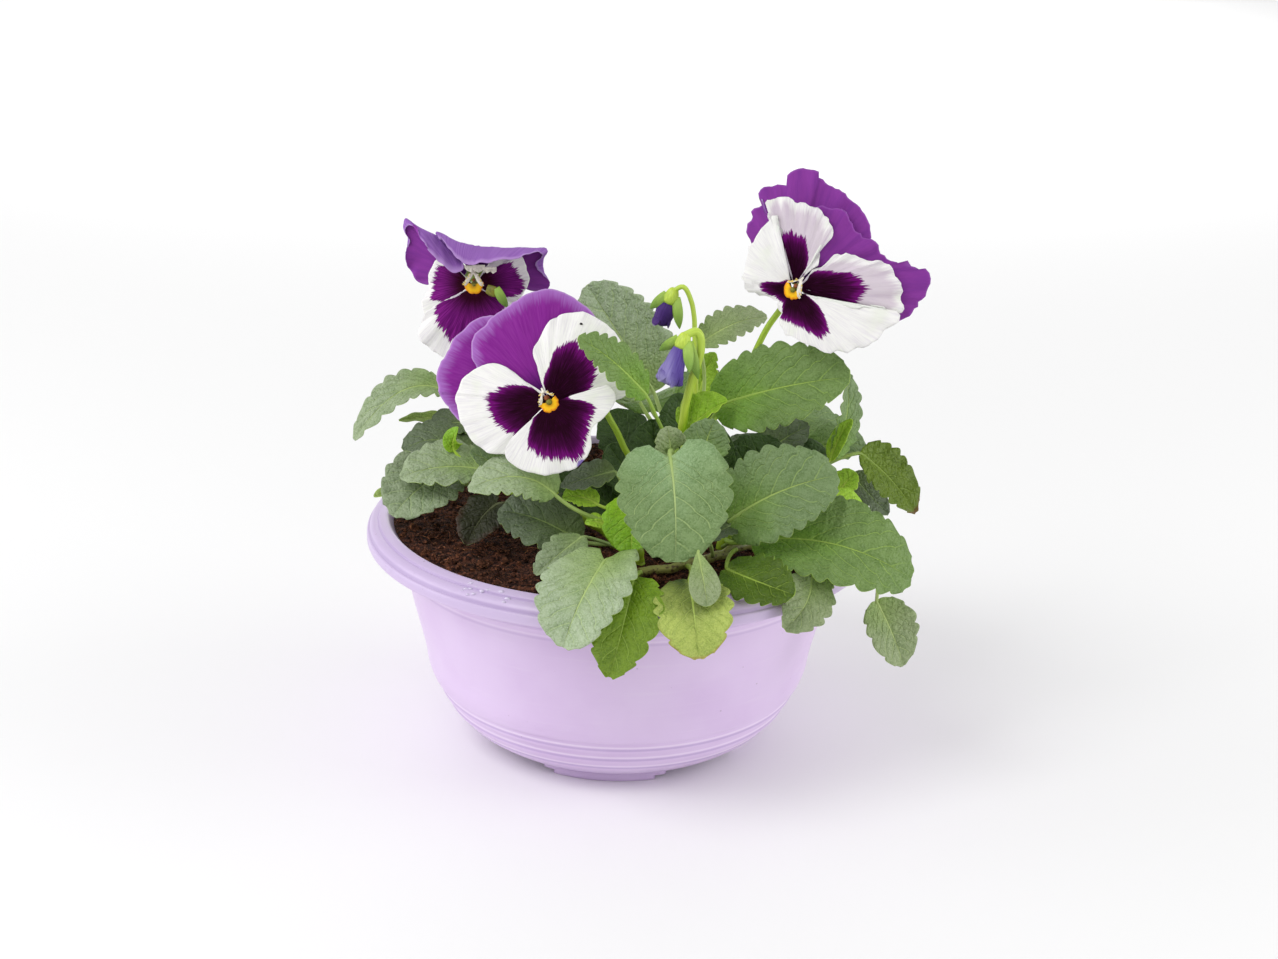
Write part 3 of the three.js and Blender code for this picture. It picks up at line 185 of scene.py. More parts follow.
# A flower's stalk leaves the stem on at a share of its length. ruffle is how frilled its petals are.
# Its throat: degrees round from its right to the throat's top, the left and right bearded ridges, the
# stigma and how far it all stands out. A petal's rim and crest, its fold, are [right, up, forward]
# from the eye, and its blotch is [degrees round from the right, radius]. It grows past its rim by grow.
FLOWERS = {
    "flower_front": {
        "eye": (-31, -58, 173), "facing": (-0.1, -0.97, 0.22), "on": "stem_centre", "at": 0.4,
        "stalk": points("6 -38 138, -4 -42 158, -16 -40 176"),
        "ruffle": 0.35, "throat": (122, 0.62, 0.3, 1.45, 0.3),
        "petals": {
            "petal_top_right": {
                "kind": "violet_edged",
                "rim": points(
                    "-6 2 -4, -20 5 -6, -32 12 -8, -35 22 -9, -30 30 -10, -21 38 -11, -8 45 -12, "
                    "3 45 -12, 14 38 -11, 18 29 -11, 11 16 -8, 2 5 -5"
                ),
            },
            "petal_top_left": {
                "kind": "violet_edged",
                "rim": points(
                    "-5 -2 -6, -22 -7 -9, -38 -11 -12, -46 -4 -14, -50 4 -15, -48 14 -16, -42 25 -17, "
                    "-32 33 -17, -21 31 -14, -13 16 -10, -3 4 -6"
                ),
            },
            "petal_left": {
                "kind": "white_plain",
                "rim": points(
                    "-3 3 -2, -10 7 -3, -19 13 -4, -27 14 -5, -35 9 -6, -40 2 -7, -39 -6 -7, "
                    "-33 -18 -6, -25 -23 -5, -18 -23 -4, -8 -10 -2, -3 -3 -1"
                ),
                "blotch": points(
                    "130 5, 137 6.1, 148 10.7, 163 19.3, 172 23.3, 179 27.3, 191 26.7, 201 26, "
                    "215 23.1, 226 20.7, 230 11.3, 236 6"
                ),
            },
            "petal_right": {
                "kind": "white_plain", "speck": (11.2, 33),
                "rim": points(
                    "-2 4 -3, -5 12 -4, -7 20 -5, -3 31 -6, 7 37 -7, 20 34 -8, 28 26 -9, 32 14 -9, "
                    "31 4 -8, 21 0 -5, 10 -1 -3, 2 1 -2"
                ),
                "blotch": points(
                    "-4 6, 8 11.8, 25 19.6, 42 24.7, 56 26, 72 27.2, 87 21.3, 94 14.8, 113 7.7"
                ),
            },
            "petal_bottom": {
                "kind": "white_plain", "mark": (15.5, -25.5),
                "rim": points(
                    "-2 -3 0, -8 -10 1, -17 -21 2, -15 -26 2, -5 -30 3, 6 -29 3, 13 -26 3, 18 -18 2, "
                    "18 -11 2, 24 -4 1, 28 3 0, 25 7 -1, 19 6 -1, 11 1 0, 3 -1 0"
                ),
                "blotch": points(
                    "-135 9, -127 11, -112 20.8, -94 23.2, -80 24, -67 24.9, -59 28.3, -43 22.6, "
                    "-23 18.9, -4 20.2, 4 16.3, 10 9"
                ),
            },
        },
    },
    "flower_left": {
        "eye": (-66, -8, 210), "facing": (-0.1, -0.97, 0.1), "on": "stem_left", "at": 0.55,
        "stalk": points("-46 -8 150, -58 2 185, -63 8 203"),
        "ruffle": 0.7, "throat": (91, 1, 1, 0.9, 0),
        "petals": {
            "petal_top_left": {
                "kind": "violet_deep", "claw": points("-6 1 -5, -4 5 -5"),
                "crest": points(
                    "-16 2 -8, -24 10 -10, -30 23.5 -11, -25.5 21.6 -10, -20 19.6 -10, -16 18 -10, "
                    "-12 15.5 -10, -7 9 -8"
                ),
                "rim": points(
                    "-19 -1 -8, -22 -2 -9, -26.5 -0.6 -9, -31.2 6 -9.5, -31.6 11.3 -10, -29.8 16 -10, "
                    "-32.2 21.5 -10, -29.5 23.2 -8, -23.1 17.3 0, -18.2 12.2 4, -11.3 7.1 7, "
                    "-6.7 5.1 8, -3.2 7.5 7, -4.3 10.8 4"
                ),
            },
            "petal_top_right": {
                "kind": "violet_deep", "claw": points("-2 6 -5, 3 5 -5"),
                "crest": points(
                    "-9 10 -8, -16.5 19.2 -8.4, -7.3 16.4 -11, 1.7 15.4 -11, 10.7 14.5 -11, "
                    "19.6 14.5 -11, 26.6 14.6 -10.5, 24 8 -11, 19 6 -9, 13 5 -8"
                ),
                "rim": points(
                    "-5 10 0, -16.1 19.6 -3.6, -9.7 14.8 4.6, -5.3 11.2 8.6, 2.5 10.1 11, "
                    "14.3 11.7 11, 21.8 13.2 8, 27.6 15 1, 27.7 12 -8, 24.9 8 -9, 28.3 3.8 -9, "
                    "31.7 0.9 -9, 29.8 -1.9 -10, 25.3 -2.9 -10, 21.2 -1.9 -10"
                ),
            },
            "petal_left": {
                "kind": "white_magenta",
                "rim": points(
                    "-3 1 -2, -9 6 -3, -16 9 -4, -19 6 -5, -22 -4 -5, -22 -14 -4, -16 -12 -3, "
                    "-10 -7 -2, -4 -3 -1"
                ),
                "blotch": points("120 4, 146 10.6, 156 17.9, 192 19.3, 203 21.4, 210 17.7, 220 12"),
            },
            "petal_right": {
                "kind": "white_magenta",
                "rim": points(
                    "2 2 -2, 6 8 -3, 13 12 -4, 19 12 -5, 22 6 -6, 22 -2 -6, 19 -6 -5, 14 -9 -4, "
                    "9 -6 -2, 3 -1 -1"
                ),
                "blotch": points(
                    "-34 8, -27 12.4, -16 18.9, -8 21.8, 6 20.7, 20 19, 33 18.1, 40 12, 50 6"
                ),
            },
            "petal_bottom": {
                "kind": "white_magenta",
                "rim": points(
                    "-2 -3 0, -10 -7 1, -18 -12 2, -23 -19 3, -21 -25 4, -13 -32 4, -3 -35 3, "
                    "8 -29 2, 15 -20 0, 16 -12 -1, 11 -6 -1, 3 -3 0"
                ),
                "blotch": points(
                    "-158 14, -147 19.4, -128 23.4, -111 27.2, -102 22, -88 19, -60 18, -38 17.5, "
                    "-26 13.2, -15 8"
                ),
            },
        },
    },
    "flower_right": {
        "eye": (72, -30, 217), "facing": (-0.38, -0.92, 0.08), "on": "stem_centre", "at": 0.84,
        "stalk": points("42 -19 158, 53 -16 175, 61 -15 193, 70 -15 207"),
        "ruffle": 1.25, "throat": (55, 0.35, 1.1, 1.3, 1.8),
        "petals": {
            "petal_top_left": {
                "kind": "violet_deep",
                "rim": points(
                    "-6 4 -6, -16 9 -8, -24 15 -10, -26 25 -12, -22 34 -14, -24 37 -15, -18 42 -16, "
                    "-13 42 -17, -5 49 -18, 1 46 -19, 15 36 -19, 23 31 -19, 26 22 -17, 20 13 -13, "
                    "3 2 -6"
                ),
            },
            "petal_top_right": {
                "kind": "violet_deep", "grow": (1.7, 1.7),
                "rim": points(
                    "0 5 -4, 1 21 -6, 7 33 -9, 14 32 -11, 22 23 -12, 28 21 -14, 37 12 -16, 51 10 -18, "
                    "51 3 -18, 48 -3 -17, 42 -10 -15, 27 -8 -10, 5 -1 -4"
                ),
            },
            "petal_left": {
                "kind": "white_lilac",
                "rim": points(
                    "-4 3 -2, -9 10 -2, -8 20 -2, -11 29 -2, -16 35 -3, -9 37 -4, -3 36 -5, 5 34 -6, "
                    "12 25 -6, 10 18 -5, 6 11 -4, 1 4 -2"
                ),
                "blotch": points(
                    "66 7, 71 12.9, 78 16.8, 84 20.7, 94 22.3, 103 24.6, 110 23.4, 118 18.1, "
                    "133 13.4, 160 6.9"
                ),
            },
            "petal_right": {
                "kind": "white_lilac", "grow": (-0.7, -0.7, -0.7, 0.8, 1.6),
                "rim": points(
                    "3 3 -3, 7 10 -4, 15 15 -5, 23 17 -6, 32 15 -8, 39 13 -9, 44 5 -10, 45 -5 -9, "
                    "34 -5 -7, 24 -5 -5, 14 -4 -4, 5 -2 -2"
                ),
                "blotch": points(
                    "-32 5.1, -21 13.3, -19 19, -18 25, 5 30.1, 19 25.6, 27 18.3, 43 12, 60 4.6"
                ),
            },
            "petal_bottom": {
                "kind": "white_plain",
                "rim": points(
                    "-4 -1 0, -8 11 -1, -10 20 -1, -11 30 -1, -17 22 0, -21 12 1, -23 4 2, -20 -3 2, "
                    "-13 -5 1, -6 -6 0, -5 -12 2, -2 -17 4, 9 -21 5, 22 -24 4, 33 -20 1, 40 -14 -2, "
                    "45 -6 -5, 29 -5 -2, 15 -6 0, 4 -4 1"
                ),
                "blotch": points(
                    "-242 4, -198 6.4, -183 15.5, -170 14.1, -152 9, -118 7.7, -109 13.7, -88 14.1, "
                    "-69 16.7, -59 20.5, -54 24.4, -43 24.3, -35 18.9, -27 12.9, -20 6"
                ),
            },
        },
    },
}

# A bud's corolla is the start and end of its axis, and its swell is [radius, share of the way] there.
# wave is how deeply it is fluted.
BUDS = {
    "bud_upper": {
        "on": "stem_centre", "at": 0.98, "radius": 1.1, "wave": 0.1, "lobes": 3,
        "stalk": points("32 -14 165, 31 -10 185, 29 -8 204, 25 -8 211"),
        "corolla": points("19 -7 203, 15.5 -7 193"),
        "sepals": points("11 -9 201, 24 -12 193, 17 1 199"),
        "swell": points("0 0, 3.3 0.02, 4.5 0.35, 3.9 0.75, 1.6 0.98, 0 1"),
    },
    "bud_lower": {
        "on": "stem_centre", "at": 0.86, "radius": 1.8, "wave": 0.24, "lobes": 6,
        "stalk": points("26 -34 156, 29 -33 175, 33 -33 190, 31 -34 198"),
        "corolla": points("24 -36 191, 19 -38 176"),
        "sepals": points("28 -44 183, 32 -38 178, 15 -33 189"),
        "swell": points("0 0, 3.2 0.02, 4.6 0.4, 5.6 0.85, 4 0.99, 0 1"),
    },
}

# A leaf's traits where its row gives none. Its width peaks at the share peak; via bends its petiole.
LEAF = {
    "lobe": 0, "teeth": 6, "crinkle": 0.6, "face": (0, -0.45, 0.9), "peak": 0.42, "blunt": 0.7,
    "fold": 0.2, "via": None,
}
YOUNG_LEAVES = ("leaf_bright", "leaf_front_yellow", "leaf_far_right", "leaf_behind_heart")

# The bowl's skin as [radius, height], from under its middle, out, over the rim and back inside.
BOWL_UNDER = points("0.02 -3.6, 8.6 -3.6, 9.2 -3.2, 10 0, 54 0, 61 0.9, 65.5 3.2")
BOWL_SIDE = points(
    "65.5 3.2, 72.6 8, 75.8 12, 76.9 14.1, 77.1 14.4, 78.6 15.1, 78.9 15.3, 79.1 15.8, 80.3 20.3, "
    "80.5 20.6, 82.1 21.3, 82.4 21.5, 82.6 22, 83.8 26.8, 84 27.1, 85.4 27.8, 85.7 28, 86 28.6, "
    "88 34, 89 42, 92 54, 95 66, 97.3 77.8, 98.3 83.2, 98.5 83.6, 99.9 84, 100.3 84.2, 100.4 84.8, "
    "100.9 88.3, 101.4 92"
)
BOWL_RIM = points(
    "101.4 92, 102.6 97.6, 107 99.6, 110.8 98.3, 112.6 94, 113 92.7, 113.6 92.3, 114.4 92.3, "
    "114.9 92.7, 115 93.4, 115 95.6, 114.8 96.6, 114.4 97, 114 97.1, 113.8 97.4, 113.7 98, "
    "113.2 99.2, 112.2 100.2, 110.9 100.9, 110.1 101.1, 109.8 101.3, 109.7 101.9, 109.3 102.4, "
    "108.3 102.8, 107.2 103.15, 106.4 103.4, 105.6 103.4, 105 103, 104.2 102, 103.2 100.6"
)
BOWL_INSIDE = points(
    "103.2 100.6, 101 96, 96.9 84, 93 66, 87 42, 86 35, 83 29, 79 21.8, 74.9 15.4, 70.2 9.3, "
    "62.5 4, 54 2.4, 0.02 2.4"
)
SOIL_WALL = points(
    "102.8 100.2, 100.7 96.3, 96.6 84.3, 92.7 66.3, 86.7 42.3, 82.7 29.3, 78.7 22.1, 69.9 9.6, "
    "53.7 2.8, 0.05 2.7"
)
SOIL_RADIUS = 102.6
CRUMBS, FIBRES, DROPS = 1150, 420, 20
HOLE_RADIUS, HOLE_CIRCLE = 4.0, 38.0
PAD_INSIDE, PAD_OUTSIDE, PAD_TOP = 51.0, 60.0, 1.0
FOOT_TURN = -95.0
QUARTERS = range(4)

# ---------------------------------------------------------------- curves and noise


def unit(vectors):
    vectors = np.asarray(vectors, float)
    return vectors / np.maximum(np.linalg.norm(vectors, axis=-1, keepdims=True), 1e-9)


def spots(*parts):
    """Points from their parts along each axis, which are arrays or single numbers."""
    return np.stack(np.broadcast_arrays(*parts), -1)


def run_length(path):
    """How far along a path each of its points is."""
    return np.r_[0, np.cumsum(np.linalg.norm(np.diff(path, axis=0), axis=1))]


def round_ring(count):
    return np.linspace(0, 2 * np.pi, count, endpoint=False)


def noise(places, size, seed=0):
    """Smooth value noise from -1 to 1, with bumps about size across."""
    places = np.asarray(places, float) / size
    cell = np.floor(places).astype(np.int64)
    part = places - cell
    part = part * part * (3 - 2 * part)
    total = 0
    for corner in itertools.product((0, 1), repeat=3):
        at = cell + corner
        mixed = (at[..., 0] * 73856093) ^ (at[..., 1] * 19349663) ^ (at[..., 2] * 83492791)
        mixed = (mixed ^ (seed * 2654435761)) & 0xFFFFFFFF
        mixed = ((mixed ^ (mixed >> 15)) * 2246822519) & 0xFFFFFFFF
        mixed = ((mixed ^ (mixed >> 13)) * 3266489917) & 0xFFFFFFFF
        value = ((mixed ^ (mixed >> 16)) & 0xFFFF) / 65535
        weight = np.prod(np.where(corner, part, 1 - part), axis=-1)
        total = total + weight * value
    return 2 * total - 1


class Curve:
    """A smooth curve through points: centripetal Catmull-Rom."""

    def __init__(self, through):
        p = np.array(through, float)
        self.points = np.vstack([2 * p[0] - p[1], p, 2 * p[-1] - p[-2]])
        self.spans = len(p) - 1

    def at(self, share):
        share = np.clip(np.atleast_1d(share).astype(float), 0, 1) * self.spans
        i = np.minimum(share.astype(int), self.spans - 1)
        w = (share - i)[:, None]
        p0, p1, p2, p3 = (self.points[i + k] for k in range(4))
        gaps = [np.linalg.norm(b - a, axis=1) ** 0.5 for a, b in ((p0, p1), (p1, p2), (p2, p3))]
        d0, d1, d2 = (np.maximum(g, 1e-4)[:, None] for g in gaps)
        t1 = ((p1 - p0) / d0 - (p2 - p0) / (d0 + d1) + (p2 - p1) / d1) * d1
        t2 = ((p2 - p1) / d1 - (p3 - p1) / (d1 + d2) + (p3 - p2) / d2) * d1
        w2, w3 = w * w, w * w * w
        ends = (2 * w3 - 3 * w2 + 1) * p1 + (w3 - 2 * w2 + w) * t1
        return ends + (3 * w2 - 2 * w3) * p2 + (w3 - w2) * t2

    def tangent(self, share):
        return unit(self.at(np.minimum(share + 1e-3, 1)) - self.at(np.maximum(share - 1e-3, 0)))

    def even(self, count):
        """count points, evenly spaced along the curve."""
        fine = self.at(np.linspace(0, 1, 60 * self.spans))
        far = run_length(fine)
        want = np.linspace(0, far[-1], count)
        return np.stack([np.interp(want, far, fine[:, k]) for k in range(fine.shape[1])], 1)


def bezier(corners, share):
    """Points and directions of a quadratic curve, which runs on past its ends."""
    a, b, c = (np.array(p, float) for p in corners)
    t = np.asarray(share, float)[..., None]
    places = (1 - t) ** 2 * a + 2 * t * (1 - t) * b + t * t * c
    return places, unit(2 * (1 - t) * (b - a) + 2 * t * (c - b))


def rounded(profile, times=2):
    """The profile with its corners cut smoothly, its ends kept."""
    profile = np.array(profile, float)
    for _ in range(times):
        a, b = profile[:-1], profile[1:]
        cut = np.stack([0.75 * a + 0.25 * b, 0.25 * a + 0.75 * b], 1).reshape(-1, 2)
        profile = np.vstack([profile[:1], cut[1:-1], profile[-1:]])
    return profile


# ---------------------------------------------------------------- meshes


class Piece:
    """Points, faces and two notes a point for the shaders, gathered for one object."""

    def __init__(self):
        self.points, self.faces, self.slots, self.notes = [], [], [], []
        self.count = 0

    def add(self, places, faces, slot=0, *notes):
        places = np.asarray(places, float).reshape(-1, 3)
        faces = np.asarray(faces, int)
        if faces.shape[1] == 3:
            faces = np.hstack([faces, np.full((len(faces), 1), -1)])
        columns = np.zeros((len(places), 6))
        for k, note in enumerate(notes):
            columns[:, 3 * k:3 * k + 3] = np.reshape(note, (-1, 3))
        self.points.append(places)
        self.faces.append(np.where(faces < 0, -1, faces + self.count))
        self.slots.append(np.broadcast_to(slot, len(faces)))
        self.notes.append(columns)
        self.count += len(places)

    def finish(self, name, materials, node, slot):
        places = np.vstack(self.points) + [0, 0, FOOT_HEIGHT]
        faces = np.vstack(self.faces)
        sizes = np.where(faces[:, 3] < 0, 3, 4)
        corners = faces[faces >= 0]
        mesh = bpy.data.meshes.new(name)
        mesh.vertices.add(len(places))
        mesh.vertices.foreach_set("co", (places * MM).ravel().astype(np.float32))
        mesh.loops.add(len(corners))
        mesh.loops.foreach_set("vertex_index", corners.astype(np.int32))
        mesh.polygons.add(len(faces))
        mesh.polygons.foreach_set("loop_start", np.r_[0, np.cumsum(sizes)[:-1]].astype(np.int32))
        mesh.polygons.foreach_set("material_index", np.hstack(self.slots).astype(np.int32))
        mesh.polygons.foreach_set("use_smooth", np.ones(len(faces), bool))
        notes = np.vstack(self.notes).astype(np.float32)
        for k, label in enumerate(("note_a", "note_b")):
            layer = mesh.attributes.new(label, "FLOAT_VECTOR", "POINT")
            layer.data.foreach_set("vector", notes[:, 3 * k:3 * k + 3].ravel())
        mesh.update(calc_edges=True)
        mesh.validate()
        for material in materials:
            mesh.materials.append(material)
        thing = bpy.data.objects.new(name, mesh)
        bpy.context.scene.collection.objects.link(thing)
        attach(thing, "root")
        if node:
            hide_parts(node)
        return thing


def grid_faces(rows, columns, closed=False):
    r = np.arange(rows - 1)[:, None] * columns
    c = np.arange(columns if closed else columns - 1)[None, :]
    n = (c + 1) % columns
    return np.stack([r + c, r + n, r + n + columns, r + c + columns], -1).reshape(-1, 4)


def add_rings(piece, rings, poles, slot=0):
    """Rows of rings as one closed body: a fan to a pole closes each end. Notes: share, turn."""
    rows, sides = rings.shape[:2]
    k = np.arange(sides)
    n = (k + 1) % sides
    first, far, gone = rows * sides, (rows - 1) * sides, np.full(sides, -1)
    faces = np.vstack([
        grid_faces(rows, sides, closed=True),
        np.stack([np.full(sides, first), n, k, gone], 1),
        np.stack([np.full(sides, first + 1), k + far, n + far, gone], 1),
    ])
    shares = np.r_[np.repeat(np.linspace(0, 1, rows), sides), 0, 1]
    turns = np.r_[np.tile(round_ring(sides) / (2 * np.pi), rows), 0, 0]
    piece.add(np.vstack([rings.reshape(-1, 3), poles]), faces, slot, spots(shares, turns, 0))


def add_tube(piece, path, radius, sides=10, slot=0, ribs=0.0):
    """A closed tube along a path, with five ribs as high as ribs is a share of its radius."""
    path = np.asarray(path, float)
    radius = np.broadcast_to(np.asarray(radius, float), len(path))
    along = unit(np.gradient(path, axis=0))
    normals = [unit(np.cross(along[0], [0.3, 0.2, 1.0]))]
    for ahead in along[1:]:
        normals.append(unit(normals[-1] - ahead * (normals[-1] @ ahead)))
    normals = np.array(normals)
    across = np.cross(along, normals)
    turn = round_ring(sides)
    reach = radius[:, None] * (1 + ribs * np.cos(5 * turn))
    ring = np.cos(turn)[:, None] * normals[:, None] + np.sin(turn)[:, None] * across[:, None]
    add_rings(piece, path[:, None] + reach[..., None] * ring, path[[0, -1]], slot)


def add_turned(piece, profile, origin, direction, sides=24, slot=0, shape=None):
    """A body turned about direction. profile holds [radius, distance along] from its start."""
    direction = unit(direction)
    side = unit(np.cross(direction, [0.31, 0.95, 0.11]))
    other = np.cross(direction, side)
    turn = round_ring(sides)
    profile = np.array(profile, float)
    reach = np.maximum(profile[:, :1], 0.01) * np.ones(sides)
    if shape is not None:
        reach = reach * shape(profile[:, 1:2], turn[None, :])
    ring = np.cos(turn)[None, :, None] * side + np.sin(turn)[None, :, None] * other
    axis = np.array(origin, float) + profile[:, 1][:, None] * direction
    add_rings(piece, axis[:, None] + reach[..., None] * ring, axis[[0, -1]], slot)


def add_sheet(piece, grid, thickness, front, back, facing, *notes):
    """A closed thin sheet over a grid of points. Its front looks to the side that facing does."""
    rows, columns = grid.shape[:2]
    normals = unit(np.cross(np.gradient(grid, axis=1), np.gradient(grid, axis=0)))
    flip = normals[4:rows // 3].reshape(-1, 3).sum(0) @ np.asarray(facing) < 0
    if flip:
        normals = -normals
    half = np.broadcast_to(thickness, (rows, columns))[..., None] / 2
    top, under = grid + half * normals, grid - half * normals
    quads = grid_faces(rows, columns)
    edge = np.r_[
        np.arange(columns), np.arange(2, rows + 1) * columns - 1,
        (rows - 1) * columns + np.arange(columns - 2, -1, -1),
        np.arange(rows - 2, 0, -1) * columns,
    ]
    following = np.roll(edge, -1)
    count = rows * columns
    walls = np.stack([following, edge, edge + count, following + count], 1)
    faces = np.vstack([quads, quads[:, ::-1] + count, walls])
    if flip:
        faces = faces[:, ::-1]
    slots = np.r_[np.full(len(quads), front), np.full(len(quads) + len(walls), back)]
    both = [np.concatenate([note.reshape(-1, 3)] * 2) for note in notes]
    piece.add(np.concatenate([top.reshape(-1, 3), under.reshape(-1, 3)]), faces, slots, *both)


def add_lump(piece, centre, size, random, slot=0):
    """An uneven crumb, about size across each way."""
    rows, sides = 6, 7
    turn = round_ring(sides)
    tilt = np.linspace(0.02, np.pi - 0.02, rows)[:, None]
    shape = spots(np.sin(tilt) * np.cos(turn), np.sin(tilt) * np.sin(turn), np.cos(tilt))
    bumps = 1 + 0.32 * noise(shape + random.uniform(0, 90, 3), 0.8, 6)
    faces = grid_faces(rows, sides, closed=True)[:, ::-1]
    piece.add(centre + shape * bumps[..., None] * size, faces, slot)


# ---------------------------------------------------------------- shaders

DARKER = (0.62, 0.7, 0.56, 1.0)
PALER = (1.22, 1.16, 1.34, 1.0)
LIGHTER = (1.25, 1.2, 1.3, 1.0)


def srgb(red, green, blue):
    """A colour as it looks on screen, 0 to 255, as the linear colour that shaders take."""
    shares = [c / 255 for c in (red, green, blue)]
    return (*(c / 12.92 if c <= 0.04045 else ((c + 0.055) / 1.055) ** 2.4 for c in shares), 1.0)


class Value:
    """A number in a shader, which sums and products with others turn into math nodes."""

    def __init__(self, tree, socket):
        self.tree, self.socket = tree, socket

    def math(self, operation, *values):
        node = self.tree.nodes.new("ShaderNodeMath")
        node.operation = operation
        for value, socket in zip(values, node.inputs):
            feed(self.tree, value, socket)
        return Value(self.tree, node.outputs[0])

    def __add__(self, other):
        return self.math("ADD", self, other)

    def __sub__(self, other):
        return self.math("SUBTRACT", self, other)

    def __rsub__(self, other):
        return self.math("SUBTRACT", other, self)

    def __mul__(self, other):
        return self.math("MULTIPLY", self, other)

    def __truediv__(self, other):
        return self.math("DIVIDE", self, other)

    def __abs__(self):
        return self.math("ABSOLUTE", self)

    __radd__, __rmul__ = __add__, __mul__


def feed(tree, value, socket):
    if isinstance(value, Value):
        tree.links.new(value.socket, socket)
    elif isinstance(value, bpy.types.NodeSocket):
        tree.links.new(value, socket)
    elif isinstance(value, tuple) and len(value) == 3:
        socket.default_value = srgb(*value)
    else:
        socket.default_value = value


class Shader:
    """A principled material, the colour laid on it so far, and the nodes that feed it.

    A colour is a socket, a linear RGBA tuple or, with three numbers, a colour as on screen.
    """

    def __init__(self, name, roughness, specular=0.5):
        self.material = bpy.data.materials.new(name)
        self.material.use_nodes = True
        self.tree = self.material.node_tree
        self.surface = self.tree.nodes["Principled BSDF"]
        self.surface.inputs["Roughness"].default_value = roughness
        self.surface.inputs["Specular IOR Level"].default_value = specular
        self.place = self.tree.nodes.new("ShaderNodeTexCoord").outputs["Object"]
        self.ground = None

    def node(self, kind, output=0, **inputs):
        """One output of a new node, its inputs fed by name."""
        node = self.tree.nodes.new(kind)
        for name, value in inputs.items():
            feed(self.tree, value, node.inputs[name])
        return Value(self.tree, node.outputs[output])

    def split(self, vector):
        node = self.tree.nodes.new("ShaderNodeSeparateXYZ")
        feed(self.tree, vector, node.inputs[0])
        return [Value(self.tree, part) for part in node.outputs]

    def note(self, label):
        source = self.tree.nodes.new("ShaderNodeAttribute")
        source.attribute_name = label
        return self.split(source.outputs["Vector"])

    def join(self, x, y, z=0.0):
        return self.node("ShaderNodeCombineXYZ", X=x, Y=y, Z=z)

    def smooth(self, value, zero, one):
        """0 where value is at zero, 1 where it is at one, and smooth between them."""
        node = self.tree.nodes.new("ShaderNodeMapRange")
        node.interpolation_type = "SMOOTHSTEP"
        rising = zero < one
        settings = (value, min(zero, one), max(zero, one), float(not rising), float(rising))
        for setting, label in zip(settings, ("Value", "From Min", "From Max", "To Min", "To Max")):
            feed(self.tree, setting, node.inputs[label])
        return Value(self.tree, node.outputs["Result"])

    def noise(self, vector, scale, detail=2.0, roughness=0.5):
        return self.node(
            "ShaderNodeTexNoise", "Fac", Vector=vector, Scale=scale, Detail=detail,
            Roughness=roughness,
        )

    def streaks(self, turn, along, shift=0.0, detail=2.0, roughness=0.6):
        return self.noise(self.join(turn, along, shift), 1.0, detail, roughness)

    def cells(self, scale):
        """The distance from the nearest line of an irregular net."""
        node = self.tree.nodes.new("ShaderNodeTexVoronoi")
        node.feature = "DISTANCE_TO_EDGE"
        feed(self.tree, self.place, node.inputs["Vector"])
        node.inputs["Scale"].default_value = scale
        return Value(self.tree, node.outputs["Distance"])

    def mix(self, share, a, b, blend="MIX"):
        node = self.tree.nodes.new("ShaderNodeMix")
        node.data_type = "RGBA"
        node.blend_type = blend
        for value, socket in ((share, 0), (a, 6), (b, 7)):
            feed(self.tree, value, node.inputs[socket])
        return Value(self.tree, node.outputs[2])

    def start(self, share, a, b):
        self.ground = self.mix(share, a, b)

    def lay(self, colour, share):
        self.ground = self.mix(share, self.ground, colour)

    def tinted(self, factors):
        return self.mix(1.0, self.ground, factors, "MULTIPLY")

    def finish(self, height, depth, roughness=None):
        """Feeds the surface. height is in shares of depth millimetres."""
        feed(self.tree, self.ground, self.surface.inputs["Base Color"])
        if roughness is not None:
            feed(self.tree, roughness, self.surface.inputs["Roughness"])
        bump = self.tree.nodes.new("ShaderNodeBump")
        bump.inputs["Distance"].default_value = depth * MM
        bump.inputs["Strength"].default_value = 1.0
        feed(self.tree, height, bump.inputs["Height"])
        self.tree.links.new(bump.outputs[0], self.surface.inputs["Normal"])
        return self.material


